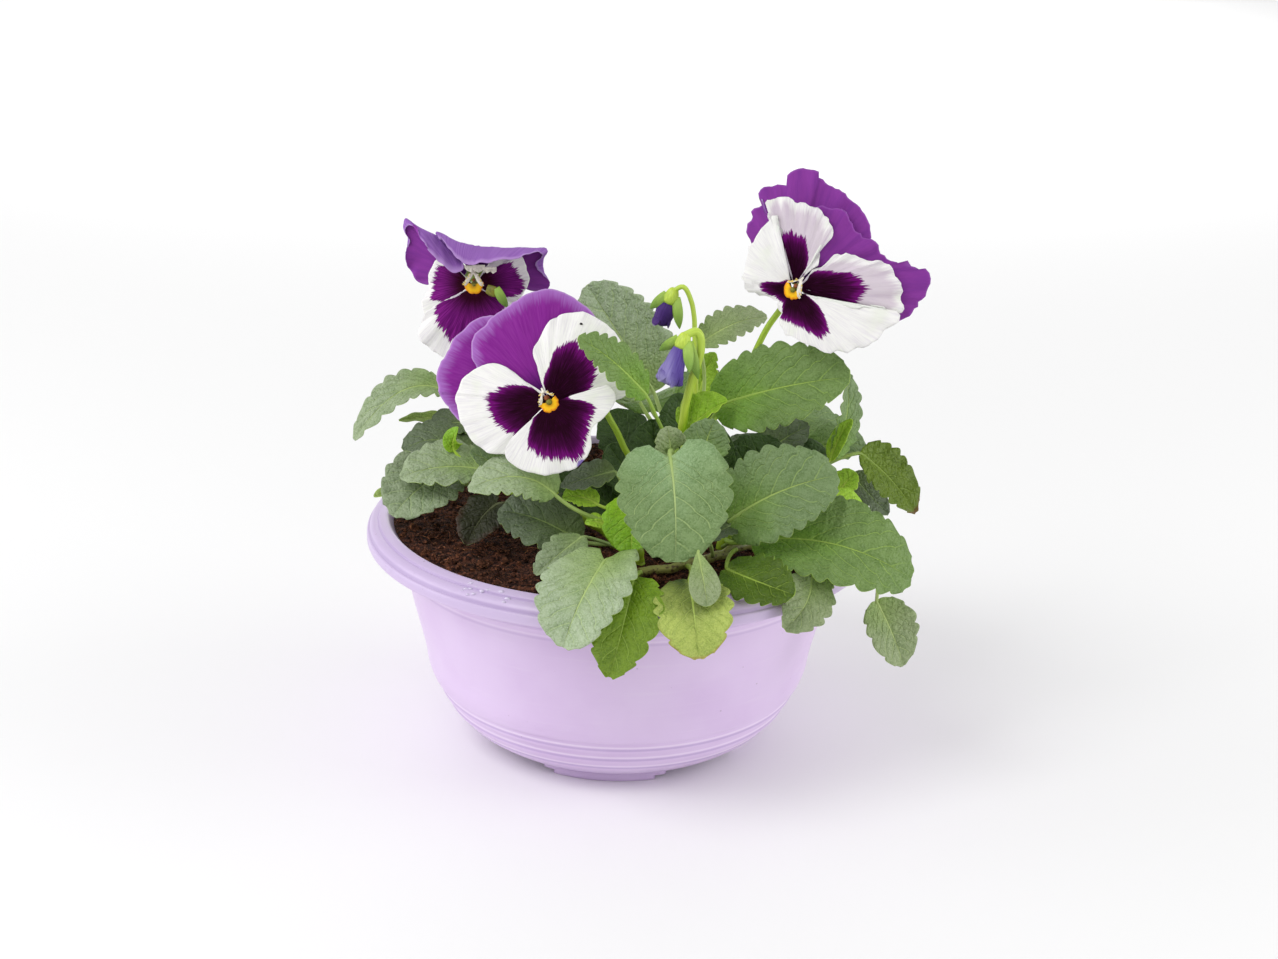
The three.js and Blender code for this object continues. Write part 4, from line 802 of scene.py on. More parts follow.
def leaf_shader(name, base, tip, vein, shade=None, under=False):
    """Notes: vein phase, distance from midrib, distance from margin; share along the blade."""
    s = Shader(name, 0.5, 0.32)
    phase, middle, margin = s.note("note_a")
    along = s.note("note_b")[0]
    mottle = s.noise(s.place, 150, 4, 0.6)
    felt = s.noise(s.place, 1500, 2, 0.6)
    wander = (s.noise(s.place, 90) - 0.5) * 0.5
    away = abs(middle)
    s.start(s.smooth(along + away * 0.022 + wander, 0.0, 0.85), base, tip)
    if shade:
        colour, reach, strength, onset = shade
        edge = s.smooth(margin + (mottle - 0.5) * (2.2 * reach), reach, 0.0)
        edge = edge * s.smooth(along, onset, min(onset + 0.4, 0.98))
        s.lay(colour, edge * strength)
    dark, pale = s.tinted(DARKER), s.tinted(PALER)
    s.lay(dark, s.smooth(mottle, 0.6, 0.32) * 0.75)
    s.lay(pale, s.smooth(felt, 0.46, 0.68) * 0.8)
    s.lay(dark, s.smooth(felt, 0.5, 0.32) * 0.5)
    net = s.cells(430)
    lines = s.smooth(net, 0.09, 0.0)
    fine_lines = s.smooth(s.cells(900), 0.1, 0.0)
    fade = s.smooth(margin, 0.0, 4.0) * s.smooth(along, 1.0, 0.8)
    s.lay(pale, (lines + fine_lines * 0.5) * 0.24)
    phase = phase + 0.5
    off = abs(phase.math("FRACT", phase) - 0.5)
    groove = s.smooth(off, 0.16, 0.02) * fade
    side_vein = s.smooth(off, 0.055, 0.015) * fade
    # Painted shade darkens the sunken grooves beside the side veins, and a painted highlight lightens the
    # raised blade between them.
    s.lay(dark, groove * 0.26)
    s.lay(pale, s.smooth(off, 0.26, 0.5) * 0.3)
    width = (1.0 - along) * 0.6 + 0.2
    midrib = s.smooth(away / width, 1.0, 0.5) * s.smooth(along, 1.0, 0.84)
    s.lay(vein if under else s.mix(0.65, pale, vein), side_vein * 0.62)
    s.lay(vein, s.smooth(away, 3.6, 0.5) * s.smooth(along, 0.6, 0.0) * 0.3)
    s.lay(vein, midrib * (along * -0.4 + 0.95))
    s.lay(pale, s.smooth(margin, 0.5, 0.1) * 0.5)
    veins = (groove + midrib) * (0.9 if under else -0.9)
    return s.finish(veins + felt * 0.7 + (mottle * 0.6 + s.smooth(net, 0.0, 0.35)), 0.26)


def stem_shader(name, base, tip, dirt=0.0):
    """Notes: share along the stem, turn round it."""
    s = Shader(name, 0.42, 0.45)
    along, turn = s.note("note_a")[:2]
    patch = s.noise(s.place, 120, 3)
    streak = s.streaks(turn * 26.0, along * 5.0, 0.0, 2.0, 0.5)
    s.start(s.smooth(along + (patch - 0.5) * 0.4, 0.0, 0.9), base, tip)
    s.lay(s.tinted(LIGHTER), s.smooth(streak, 0.42, 0.72))
    if dirt:
        s.lay((72, 46, 26), s.smooth(s.noise(s.place, 520, 4, 0.7), 0.5, 0.62) * dirt)
    return s.finish(streak, 0.15)


# The colours of a white petal's blotch: its fringe, its ink and its heart.
INKS = ((112, 16, 112), (66, 6, 60), (32, 1, 18))
MAGENTA_INKS = ((136, 36, 136), (94, 16, 98), (44, 3, 18))


def petal_shader(kind):
    """Notes: radius as a share of the blotch's, turn, radius; rim distance, mark."""
    s = Shader("petal_" + kind, 0.72, 0.05)
    inside, turn, radius = s.note("note_a")
    rim, mark = s.note("note_b")[:2]
    rays = s.streaks(turn * 14.0, radius * 0.05, 3.0, 3.0)
    fine = s.streaks(turn * 44.0, radius * 0.07, 9.0)
    threads = s.streaks(turn * 95.0, radius * 0.16, 5.0)
    if kind == "white_back":
        s.start(s.smooth(fine, 0.4, 0.7), (238, 240, 234), (226, 230, 222))
        s.lay((176, 140, 186), s.smooth(inside + (fine - 0.5) * 0.4, 1.0, 0.8) * 0.45)
    elif kind == "violet_back":
        s.start(s.smooth(fine, 0.35, 0.7), (140, 92, 172), (158, 112, 188))
        s.lay((118, 66, 154), s.smooth(rays, 0.55, 0.75) * 0.4)
        s.lay((110, 66, 150), s.smooth(threads, 0.5, 0.75) * 0.3)
        s.lay((176, 138, 200), s.smooth(rim, 1.2, 0.2))
    elif kind.startswith("violet"):
        s.start(s.smooth(fine, 0.35, 0.7), (128, 38, 138), (139, 50, 148))
        if kind == "violet_edged":
            s.lay((166, 112, 190), s.smooth(rim + (fine - 0.5) * 9.0, 6.5, 0.0) * 0.9)
            s.lay((190, 152, 208), s.smooth(rim, 0.9, 0.1) * 0.7)
        else:
            s.lay((140, 66, 158), 0.75)
            s.lay((122, 54, 146), s.smooth(rays, 0.4, 0.7) * 0.6)
            s.lay((164, 104, 186), s.smooth(rim, 0.8, 0.1) * 0.35)
        s.lay((66, 18, 92), s.smooth(radius + (rays - 0.5) * 16.0, 19.0, 5.0) * 0.85)
    else:
        s.start(s.smooth(fine, 0.4, 0.75) * 0.5, (244, 243, 240), (218, 212, 222))
        s.lay((210, 202, 214), s.smooth(threads, 0.5, 0.75) * 0.4)
        s.lay((232, 236, 222), s.smooth(s.noise(s.place, 90), 0.5, 0.75) * 0.6)
        if kind == "white_lilac":
            # Painted lilac-grey shade over the side petals away from the rim, and in streaks along their
            # folds.
            s.lay((205, 189, 204), s.smooth(rim + (rays - 0.5) * 9.0, 0.6, 5.0) * 0.75)
            s.lay((196, 180, 198), s.smooth(rays, 0.45, 0.7) * 0.5)
        ragged = (fine - 0.5) * 0.3 + (rays - 0.5) * 0.26
        reach = inside + (threads - 0.5) * 0.16 + ragged
        if kind == "white_magenta":
            fringe, ink, core = MAGENTA_INKS
            deep, heart = s.smooth(fine, 0.36, 0.6), s.smooth(radius, 17.0, 6.0)
        else:
            fringe, ink, core = INKS
            deep, heart = s.smooth(reach, 0.98, 0.78), s.smooth(reach, 0.9, 0.5)
        ink = s.mix(heart, s.mix(deep, fringe, ink), core)
        ink = s.mix(s.smooth(threads, 0.5, 0.75) * 0.3, ink, fringe)
        s.lay(ink, s.smooth(reach, 1.02, 0.98) * s.smooth(rim, 0.35, 0.75))
        s.lay((100, 56, 168), s.smooth(mark, 0.35, 0.6) * 0.85)
    return s.finish(fine * 0.6 + rays * 0.6 + threads * 0.4, 0.22)


def bud_shader(name, low, high, streak, middle):
    """Notes: share along the bud, turn round it. It is pale to the left of middle."""
    s = Shader(name, 0.6, 0.3)
    share, turn = s.note("note_a")[:2]
    lines = s.streaks(turn * 30.0, share * 2.0, 0.0, 3.0)
    x = s.split(s.place)[0]
    pale = s.smooth(x * PER_METRE + (lines - 0.5) * 5.0, middle + 2.5, middle - 3.0)
    s.start((s.smooth(share, 0.1, 0.9) + 0.4) * (pale * 0.8), low, high)
    s.lay(streak, s.smooth(lines, 0.4, 0.7) * 0.6)
    s.lay((226, 222, 234), s.smooth(share, 0.8, 1.0) * pale * 0.7)
    return s.finish(lines, 0.3)


# Heights of the ledges round the bowl with how strongly the painted shade and highlight at each show, and
# the rim's creases.
LEDGES = ((14.7, 0.6), (20.9, 0.6), (27.4, 0.6), (83.8, 0.3), (89.6, 0.3))
# The rim's lines: painted shade in its two creases and a painted highlight along its inner edge.
RIM_SHADES_AND_GLINT = ((109.75, (168, 146, 190)), (113.75, (168, 146, 190)), (105.3, (226, 212, 238)))


def plastic_shader():
    """The bowl's lilac plastic: faint turned streaks, a dusty rim, a few specks of soil, and painted shade
    and highlights at its ledges and rim creases.
    """
    s = Shader("lilac_plastic", 0.3, 0.5)
    x, y, z = s.split(s.place)
    height = z * PER_METRE
    streak = s.streaks(y.math("ARCTAN2", y, x) * 1.6, z * 420.0, 0.0, 4.0)
    s.start(s.smooth(s.noise(s.place, 26, 3), 0.3, 0.7), (216, 191, 229), (222, 200, 234))
    s.lay((228, 212, 237), s.smooth(streak, 0.55, 0.8) * 0.35)
    # Painted shade just under each ledge and a painted highlight on its edge above.
    for ledge, strength in LEDGES:
        shade = s.smooth(abs(height + (0.5 - ledge)), 1.0, 0.1)
        glint = s.smooth(abs(height + (-0.9 - ledge)), 0.8, 0.1)
        s.lay((178, 152, 202), shade * strength)
        s.lay((244, 230, 250), glint * strength)
    lip = s.smooth(height, 94.0, 98.0)
    s.lay((198, 180, 215), lip * 0.85)
    far = x * x + y * y
    far = far.math("POWER", far, 0.5) * PER_METRE
    # Painted shade in the rim's creases and a painted highlight on its inner edge.
    for crease, colour in RIM_SHADES_AND_GLINT:
        s.lay(colour, s.smooth(abs(far - crease), 0.55, 0.1) * lip * 0.65)
    dust = s.smooth(s.noise(s.place, 900, 3, 0.7), 0.66, 0.74) * s.smooth(height, 98.0, 104.0)
    s.lay((150, 128, 140), dust * 0.5)
    s.lay((188, 168, 206), s.smooth(height, 12.0, 2.0) * 0.25)
    s.lay((132, 108, 128), s.smooth(s.noise(s.place, 330, 2, 0.4), 0.76, 0.79) * 0.35)
    return s.finish(streak, 0.09, streak * 0.14 + 0.27)


def soil_shader(name, dark, light):
    s = Shader(name, 0.93, 0.15)
    crumb = s.noise(s.place, 400, 6, 0.72)
    clod = s.smooth(s.cells(520), 0.0, 0.3)
    s.start(s.smooth(crumb, 0.4, 0.66), dark, light)
    # Painted shade in the cracks between the clods.
    s.lay((26, 15, 12), (1.0 - clod) * 0.5)
    s.lay((40, 25, 19), s.smooth(s.noise(s.place, 90, 3), 0.45, 0.7) * 0.5)
    return s.finish(crumb + clod * 0.7, 1.4)


def throat_shader():
    """Note: share of the lip's radius."""
    s = Shader("throat_lip", 0.5, 0.3)
    share = s.note("note_a")[0]
    patch = s.noise(s.place, 900)
    s.start(s.smooth(share, 0.2, 0.62), (206, 150, 12), (252, 196, 8))
    s.lay((236, 140, 4), s.smooth(share + (patch - 0.5) * 0.4, 0.68, 1.0))
    return s.finish(patch, 0.2)


def plain_shader(name, colour, roughness, second=None, size=300, specular=0.5):
    s = Shader(name, roughness, specular)
    patch = s.noise(s.place, size, 3, 0.6)
    s.start(s.smooth(patch, 0.35, 0.65), colour, second or colour)
    return s.finish(patch, 0.1)


# ---------------------------------------------------------------- leaves

ROUNDING = 0.76


def read_leaf(row):
    """A leaf from a row of LEAVES less its node, or of SMALL_LEAVES."""
    root, rib, width, look, *traits = row.split(";")
    leaf = {**LEAF, "rib": points(rib), "width": float(width)}
    leaf["on"], share = root.split()
    leaf["at"] = float(share)
    leaf["tint"], *shape = look.split()
    leaf.update(zip(("lobe", "teeth", "crinkle"), map(float, shape)))
    for trait in traits:
        label, numbers = trait.strip().split("=")
        numbers = points(numbers)[0]
        leaf[label] = numbers if len(numbers) > 1 else numbers[0]
    return leaf


def blade_half(leaf, share, blunt):
    """Half the width of a blade without scallops, at a share of its length."""
    exponent = math.log(0.5) / math.log(leaf["peak"])
    return leaf["width"] / 2 * np.sin(np.pi * (0.004 + 0.992 * share) ** exponent) ** blunt


def blade_edge(leaf, length, rows, random):
    """Half width, distance along and row share of a blade's scalloped margin, evenly stepped."""
    fine = np.linspace(0, 1, 600) ** 1.2
    half, along = blade_half(leaf, fine, leaf["blunt"] * ROUNDING), fine * length
    far = np.r_[0, np.cumsum(np.hypot(np.diff(half), np.diff(along)))]
    even = np.linspace(0, far[-1], rows)
    half, along = np.interp(even, far, half), np.interp(even, far, along)
    share = along / length
    if leaf["teeth"]:
        depth = min(2.9, 0.076 * length, 0.15 * leaf["width"])
        jitter = 0.35 * noise(spots(even / 9, 0, 0), 1.0, int(random.integers(99)))
        turn = leaf["teeth"] * (even / far[-1]) ** 0.92
        turn = turn + jitter * np.clip(share * (1 - share) * 6, 0, 1)
        swell = np.sin(np.pi * (turn % 1.0) ** 1.2) ** 0.64 - 0.64
        swell = swell * np.clip(share / 0.1, 0, 1) * np.clip((1 - share) / 0.012, 0, 1)
        slope = unit(np.stack([np.gradient(along), -np.gradient(half)], 1))
        half = half + depth * swell * slope[:, 0]
        along = along - depth * swell * slope[:, 1]
    return np.maximum(half, 0.3), along, share


def add_leaf(piece, leaf, start, out, seed, slots=(0, 1, 2), fine=1.0):
    """A blade as a sheet, and its petiole and midrib as a tube from start, which it leaves in out.

    The slots are of the blade's front, its back and the petiole. fine scales the grid's steps.
    """
    base, middle, tip = np.array(leaf["rib"], float)
    face, crinkle, via = unit(leaf["face"]), leaf["crinkle"], leaf["via"]
    bend = 2 * middle - (base + tip) / 2
    towards = unit(bend - base)
    if via is None:
        arm = 0.45 * np.linalg.norm(base - start)
        before, outside = base - arm * towards, start + arm * out
        via = before + 0.4 * (outside - before)
    random = np.random.default_rng(seed)
    half_width = leaf["width"] / 2
    length = np.linalg.norm(middle - base) + np.linalg.norm(tip - middle)
    rows = int(np.clip(length * 2.4, 50, 124) * fine)
    columns = max(4, round(8 * fine))
    right_half = np.linspace(0.12, 1, columns)
    across = np.r_[np.linspace(-1, -0.12, columns), -0.045, 0, 0.045, right_half]
    edges = [blade_edge(leaf, length, rows, random) for _ in range(2)]
    half, edge_along = (
        np.where(across > 0, right[:, None], left[:, None]) for left, right in list(zip(*edges))[:2]
    )
    share = edges[0][2]
    t, s = np.meshgrid(share, across, indexing="ij")
    bent = np.abs(s) ** 1.5
    x = s * half
    heart = leaf["lobe"] * length * bent * np.exp(-(t / 0.15) ** 2)
    y = t * length + bent * (edge_along - t * length) - heart
    smooth_half = blade_half(leaf, share, 0.6)[:, None]
    slant = 0.55 * np.abs(s) ** 1.28 * np.clip(smooth_half / half_width, 0.2, 1)
    root = np.clip(y / length + 0.02 - slant, 0, 1)
    phase = (4.8 + 0.035 * length) * root ** 0.66 + np.where(s > 0, 0.45, 0.0)
    phase = phase + random.uniform(0, 0.3)
    quilt = np.abs(np.sin(np.pi * phase)) ** 0.7 * np.clip(np.abs(x) / 3, 0, 1)
    quilt = quilt * np.clip((1 - np.abs(s)) / 0.3, 0.15, 1) * np.clip((1 - t) / 0.2, 0, 1)
    plane = spots(x, y, seed * 17.0)
    z = leaf["fold"] * smooth_half * bent + 0.6 * crinkle * quilt
    z = z + crinkle * 1.3 * bent * noise(plane, 11, 3) * np.clip(half_width / 14, 0.3, 1)
    z = z + crinkle * 0.4 * noise(plane, 4, 5) * np.clip(np.abs(s) * 3, 0, 1)
    z = z + 0.7 * crinkle * bent ** 2 * np.sin(2 * np.pi * (y / 9 + random.uniform()))
    z = z - 0.45 * np.exp(-(x / 0.9) ** 2) * np.clip(smooth_half / 3, 0, 1)
    aside = random.uniform(-0.014, 0.014) * length * unit(np.cross(towards, face))
    spine, along = bezier((base, bend, tip), y / length)
    side = unit(np.cross(along, face))
    grid = spine + x[..., None] * side + z[..., None] * np.cross(side, along)
    grid = grid + np.sin(np.pi * t)[..., None] * aside
    margin = np.minimum((1 - np.abs(s)) * half, (1 - t) * length)
    thick = np.clip(0.62 - 0.32 * bent, 0.25, 0.62) * (1 - 0.3 * t)
    notes = spots(phase, x, margin), spots(np.clip(y / length, 0, 1), 0, 0)
    add_sheet(piece, grid, thick, slots[0], slots[1], face, *notes)
    stalk = bezier((start, via, base), np.linspace(0, 1, 22))[0]
    rib_share = np.linspace(0.02, 0.9, 26)
    rib, rib_along = bezier((base, bend, tip), rib_share)
    rib_side = unit(np.cross(rib_along, face))
    drop = np.interp(rib_share, [0, 0.15, 1], [0.1, 0.5, 0.55])[:, None]
    rib = rib - drop * np.cross(rib_side, rib_along) + np.sin(np.pi * rib_share)[:, None] * aside
    thin = min(1.0, 0.55 + half_width / 36)
    radius = np.r_[np.linspace(1.15, 0.95, 21), np.linspace(0.9, 0.28, 26) ** 1.2] * thin
    add_tube(piece, np.vstack([stalk[:-1], rib]), radius, 10, slots[2])


# ---------------------------------------------------------------- petals


def flower_frame(flower):
    """A flower's right, up and forward, and its eye."""
    out = unit(flower["facing"])
    up = unit(np.array([0, 0, 1.0]) - out * out[2])
    return np.stack([np.cross(up, out), up, out]), np.array(flower["eye"], float)


def polar(grid):
    """The distance of points from a flower's eye, and their turn round it."""
    return np.hypot(grid[..., 0], grid[..., 1]), np.arctan2(grid[..., 1], grid[..., 0])


def blotch_reach(outline, turn):
    """The blotch's radius at a turn round the eye, in radians."""
    degrees, radii = np.array(outline, float).T
    around = np.degrees(turn)
    centre = (degrees[0] + degrees[-1]) / 2
    around = (around - centre + 180) % 360 - 180 + centre
    return np.interp(around, degrees, radii)


def add_petal(piece, petal, axes, eye, ruffle, seed):
    rows, columns = PETAL_GRID
    rim = Curve(petal["rim"]).even(columns)
    claw = np.array(petal.get("claw") or [petal["rim"][0], petal["rim"][-1]], float)
    u = np.linspace(0, 1, columns)
    base = claw[0] + (0.1 + 0.8 * u)[:, None] * (claw[1] - claw[0])
    if "claw" not in petal:
        base = base * [0.5, 0.5, 1.0]
    run = np.linspace(0, 1, rows)[:, None] ** 0.9
    length = np.linalg.norm(rim - base, axis=1)
    girth = run_length(rim)
    ends = np.clip(np.minimum(u, 1 - u) / 0.12, 0, 1)
    waves = noise(spots(girth, 0, seed * 13), 4.5, 2)
    small = noise(spots(girth, 0, seed * 13), 1.9, 4)
    folds = noise(spots(girth, 0, seed * 31), 3.4, 6)
    outward = unit(rim - base)
    edge = unit(np.gradient(rim, axis=0))
    slant = np.clip(np.linalg.norm(np.cross(outward, edge), axis=1), 0.05, 1)
    beside = unit(np.cross(edge, [0, 0, 1.0]))
    beside = beside * np.sign(np.sum(beside * outward, axis=1).mean())
    grow = petal.get("grow", (0.55, 0.55))
    grow = np.interp(u, np.linspace(0, 1, len(grow)), grow)
    ragged = (0.5 * waves + (0.2 + 0.25 * ruffle) * small) * ends * (0.6 + 0.8 * ruffle)
    rim = rim + (ragged + grow)[:, None] * beside
    t = run[..., None]
    if "crest" in petal:
        bend = 2 * Curve(petal["crest"]).even(columns) - (base + rim) / 2
        grid = (1 - t) ** 2 * base + 2 * t * (1 - t) * bend + t * t * rim
    else:
        grid = base + t * (rim - base)
        grid[..., 2] += 4 * 0.03 * (run * (1 - run)) * length
    away, turn = polar(grid)
    place = spots(grid[..., 0], grid[..., 1], seed * 29.0)
    ray = spots(np.cos(turn) * 9, np.sin(turn) * 9, away / 30 + seed)
    wave = 0.55 * noise(place, 13, 1) + 0.22 * noise(place, 5, 2)
    wave = wave + 0.3 * noise(ray, 0.8, 8) * np.clip(away / 12, 0, 1)
    curl = run ** 4 * (0.8 * waves + 0.5 * folds + 0.3 * small) * ends * (0.5 + ruffle)
    normal = unit(np.cross(np.gradient(grid, axis=1), np.gradient(grid, axis=0)))
    if normal[4:rows // 3, :, 2].mean() < 0:
        normal = -normal
    out = (wave * np.clip(away / 9, 0, 1) + curl) * np.clip(run * 6, 0, 1)
    grid = grid + out[..., None] * normal
    away, turn = polar(grid)
    inside = away / blotch_reach(petal["blotch"], turn) if "blotch" in petal else 9.0

    def gap(spot):
        """The square of each point's distance from a spot, as seen from the front."""
        return (grid[..., 0] - spot[0]) ** 2 + (grid[..., 1] - spot[1]) ** 2

    marked = np.exp(-gap(petal.get("mark", (99, 99))) / 7)
    notes = spots(inside, turn, away), spots((1 - run) * (length * slant), marked, 0)
    world = grid @ axes + eye
    if "speck" in petal:
        spot = world.reshape(-1, 3)[np.argmin(gap(petal["speck"]))] + 0.3 * axes[2]
        add_lump(piece, spot, np.array([0.75, 0.5, 0.5]), np.random.default_rng(3), 2)
    add_sheet(piece, world, 0.42 - 0.22 * run, 0, 1, axes[2], *notes)


# ---------------------------------------------------------------- stalks, sepals and eyes

# The slots of a flower's stalk.
STALK, SEPAL, STIGMA, LIP, TUFT, YELLOW_TUFT, PIT_SHADE = range(7)


def add_sepal(piece, start, tip, face, width, seed, slot=0):
    start, tip, face = (np.array(p, float) for p in (start, tip, face))
    length = np.linalg.norm(tip - start)
    along = unit(tip - start)
    side = unit(np.cross(along, face))
    normal = np.cross(side, along)
    t, s = np.meshgrid(np.linspace(0, 1, 22), np.linspace(-1, 1, 11), indexing="ij")
    half = width / 2 * (0.62 + 0.9 * t) * (1 - t ** 2.2) + 0.12
    x = s * half
    z = -0.3 * half * s ** 2 + 0.09 * length * np.sin(np.pi * t) - 0.05 * length * t * t
    z = z + 0.15 * noise(spots(x, t * length, seed * 7.0), 2.5, 1)
    grid = start + (t * length)[..., None] * along + x[..., None] * side + z[..., None] * normal
    add_sheet(piece, grid, 0.4 - 0.2 * t, slot, slot, face, spots(t, s, 0))


def stem_path(curve, steps, seed, sway):
    """Points along a curve that sways a little."""
    at = spots(np.linspace(0, steps / 3, steps), 0, seed * 5.0)
    wander = np.stack([noise(at + [0, 0, k], 2.0, k) for k in range(3)], 1)
    ends = np.clip(np.minimum(np.arange(steps), np.arange(steps)[::-1]) / 5, 0, 1)[:, None]
    return curve.even(steps) + sway * wander * ends


def on_bark(stem, share, target, radius):
    """Where something of a radius leaves a stem towards target, and its direction there."""
    centre = stem["curve"].at(share)[0]
    along = stem["curve"].tangent(share)[0]
    out = np.array(target, float) - centre
    out = unit(out - along * (out @ along))
    return centre + out * (stem["radius"] + 0.3 + 0.5 * radius), out


def ribbed(depth):
    """The shape of a turned body with five low ribs."""
    return lambda far, turn: 1 + depth * np.cos(5 * turn)


def add_eye(piece, place, forward, throat, frilled, seed):
    """The throat: an orange lip under a stigma, and a pale bearded ridge on each side of it."""
    random = np.random.default_rng(seed)
    lean, *ridges, size, lift = throat
    cos, sin = math.cos(math.radians(lean)), math.sin(math.radians(lean))

    def at(x, y, z):
        return place(x * sin + y * cos, y * sin - x * cos, z + lift)

    def add_frill(x, y, z, thickness, slot, note):
        grid = np.array([[at(*spot) for spot in row] for row in spots(x, y, z)])
        add_sheet(piece, grid, thickness, slot, slot, forward, note)

    share, turn = np.meshgrid(np.linspace(0.06, 1, 9), np.linspace(-200, 20, 40), indexing="ij")
    turn = np.radians(turn)
    far = 4.1 * share * (1 + 0.09 * noise(spots(turn * 4, 0, seed), 1.0, 2) * share)
    x, y = far * np.cos(turn), far * np.sin(turn) - 0.2
    add_frill(x, y, 1.1 - 0.55 * share * share, 0.5, LIP, spots(share, turn, 0))
    drop = size * np.array(points("0 -1, 0.75 -0.7, 1 0, 0.75 0.7, 0 1"))
    drop[[0, -1], 0] = 0.05
    add_turned(piece, rounded(drop), at(0.2, -0.1, 1.0), forward, 20, STIGMA)
    # A dark red-brown body above the stigma: painted shade in the hollow of the throat.
    add_turned(piece, rounded(0.85 * drop), at(0, 1.9, 0.5), forward, 16, PIT_SHADE)
    share = np.linspace(0, 1, 18)
    for side, reach in zip((-1, 1), ridges):
        end = at(side * (2.4 + 1.5 * reach), 2.2 - 2.6 * reach, 1.0)
        path = bezier([at(0.3 * side, 5.2, -0.2), at(1.5 * side, 3.4, 1.8), end], share)[0]
        path = path + 0.12 * noise(path, 0.9, 4)[:, None] * forward
        swell = np.interp(share, [0, 0.3, 0.75, 1], [0.45, 0.75, 1.05, 0.6]) * reach
        add_tube(piece, path, swell * (1 + 0.12 * noise(path, 0.8, 7)), 9, TUFT)
        for _ in range(int(34 * reach)):
            k = int(random.integers(4, 18))
            root = path[k] + random.uniform(-0.3, 0.3, 3) * swell[k]
            outward = at(side * 1.2, random.uniform(-0.8, 0.6), 0) - at(0, 0, 0)
            tip = root + outward * random.uniform(0.5, 1.1) + forward * random.uniform(0.2, 0.9)
            slot = YELLOW_TUFT if random.uniform() < 0.6 else TUFT
            hair = [root, (root + tip) / 2 + 0.15 * forward, tip]
            add_tube(piece, hair, [0.26, 0.24, 0.16], 5, slot)
    strip = bezier([at(0, 4.4, 0.6), at(0, 5.2, 0.2), at(0, 6.4, -0.9)], share)[0]
    add_tube(piece, strip, np.linspace(0.75, 0.45, 18), 8, TUFT)
    if not frilled:
        return
    rise, run = np.meshgrid(np.linspace(0, 1, 8), np.linspace(0, 1, 34), indexing="ij")
    for k, (left, right, low) in enumerate(points("-3.8 1.6 5.6, -0.6 5.2 6, 4.4 10.2 5.2")):
        wave = noise(spots(run * 4, 0, seed + 5 * k), 1.0, 8)
        bulge = noise(spots(run * 5, rise, 3 * k), 1.0, 9)
        y = low + 1.2 * (2 * run - 1) ** 2 * (1 - rise) + 2.8 * rise + 0.8 * wave * (1 - rise)
        z = 1.2 + 1.0 * bulge * (1 - rise) + 0.6 * rise
        add_frill(left + (right - left) * run, y, z, 0.3, TUFT, spots(rise, run, 0))
    add_sepal(piece, at(6.4, -1.2, 4.6), at(12.8, -3.2, 5.8), forward, 5.2, seed, STIGMA)
    add_sepal(piece, at(10.8, -0.6, 5.6), at(15.8, -8.8, 6.6), forward, 4.4, seed, SEPAL)


FLOWER_CUP = points("0.1 -2.6, 1.5 -2.4, 2.3 -1.7, 2.9 -0.7, 3 0.2, 2.7 1.2, 2.2 2, 1.2 2.6, 0.1 2.8")
FLOWER_TUBE = points("0.1 0, 0.9 0.05, 0.9 8.6, 1 9.4, 1.2 10, 1.1 10.8, 0.6 11.5, 0.1 11.8")


def add_flower(name, flower, stem, seed):
    """The stalk, eye and petals of one open flower."""
    axes, eye = flower_frame(flower)
    out = axes[2]

    def place(x, y, z):
        return np.array([x, y, z]) @ axes + eye

    start, _ = on_bark(stem, flower["at"], flower["stalk"][0], STALK_RADIUS)
    back = place(0, 0, -CALYX_BACK)
    route = [start, *flower["stalk"], place(0, 0, -CALYX_BACK - 3), back]
    stalk = Piece()
    rise, fall = np.linspace(0, 1, TUBE_STEPS), np.linspace(1, 0, TUBE_STEPS)
    swell = STALK_RADIUS * (1 + 0.25 * fall ** 6 + 0.2 * rise ** 10)
    add_tube(stalk, stem_path(Curve(route), TUBE_STEPS, seed, 0.2), swell, 12, STALK)
    add_turned(stalk, FLOWER_CUP, back, out, 20, STALK, ribbed(0.06))
    for i in range(5):
        angle = 2 * np.pi * (i + 0.25) / 5
        cos, sin = np.cos(angle), np.sin(angle)
        tip = place(SEPAL_REACH * cos, SEPAL_REACH * sin, -CALYX_BACK - 5)
        add_sepal(stalk, place(1.5 * cos, 1.5 * sin, -CALYX_BACK), tip, out, 4.5, seed + i, SEPAL)
    add_turned(stalk, FLOWER_TUBE, back, out, 14, STIGMA)
    add_eye(stalk, place, out, flower["throat"], name == "flower_left", seed)
    stalk.finish(name + "_stalk_look", stalk_looks, name + "_stalk", "stem")
    for k, (petal_name, petal) in enumerate(flower["petals"].items()):
        colour, body = petal["kind"].split("_")[0], Piece()
        ruffle = flower["ruffle"] * (1.25 if colour == "violet" else 1.0)
        add_petal(body, petal, axes, eye, ruffle, seed + k)
        node = f"{name}_{petal_name}"
        skin = [petal_looks[petal["kind"]], *petal_backs[colour]]
        body.finish(node + "_look", skin, node, colour + "_petal")


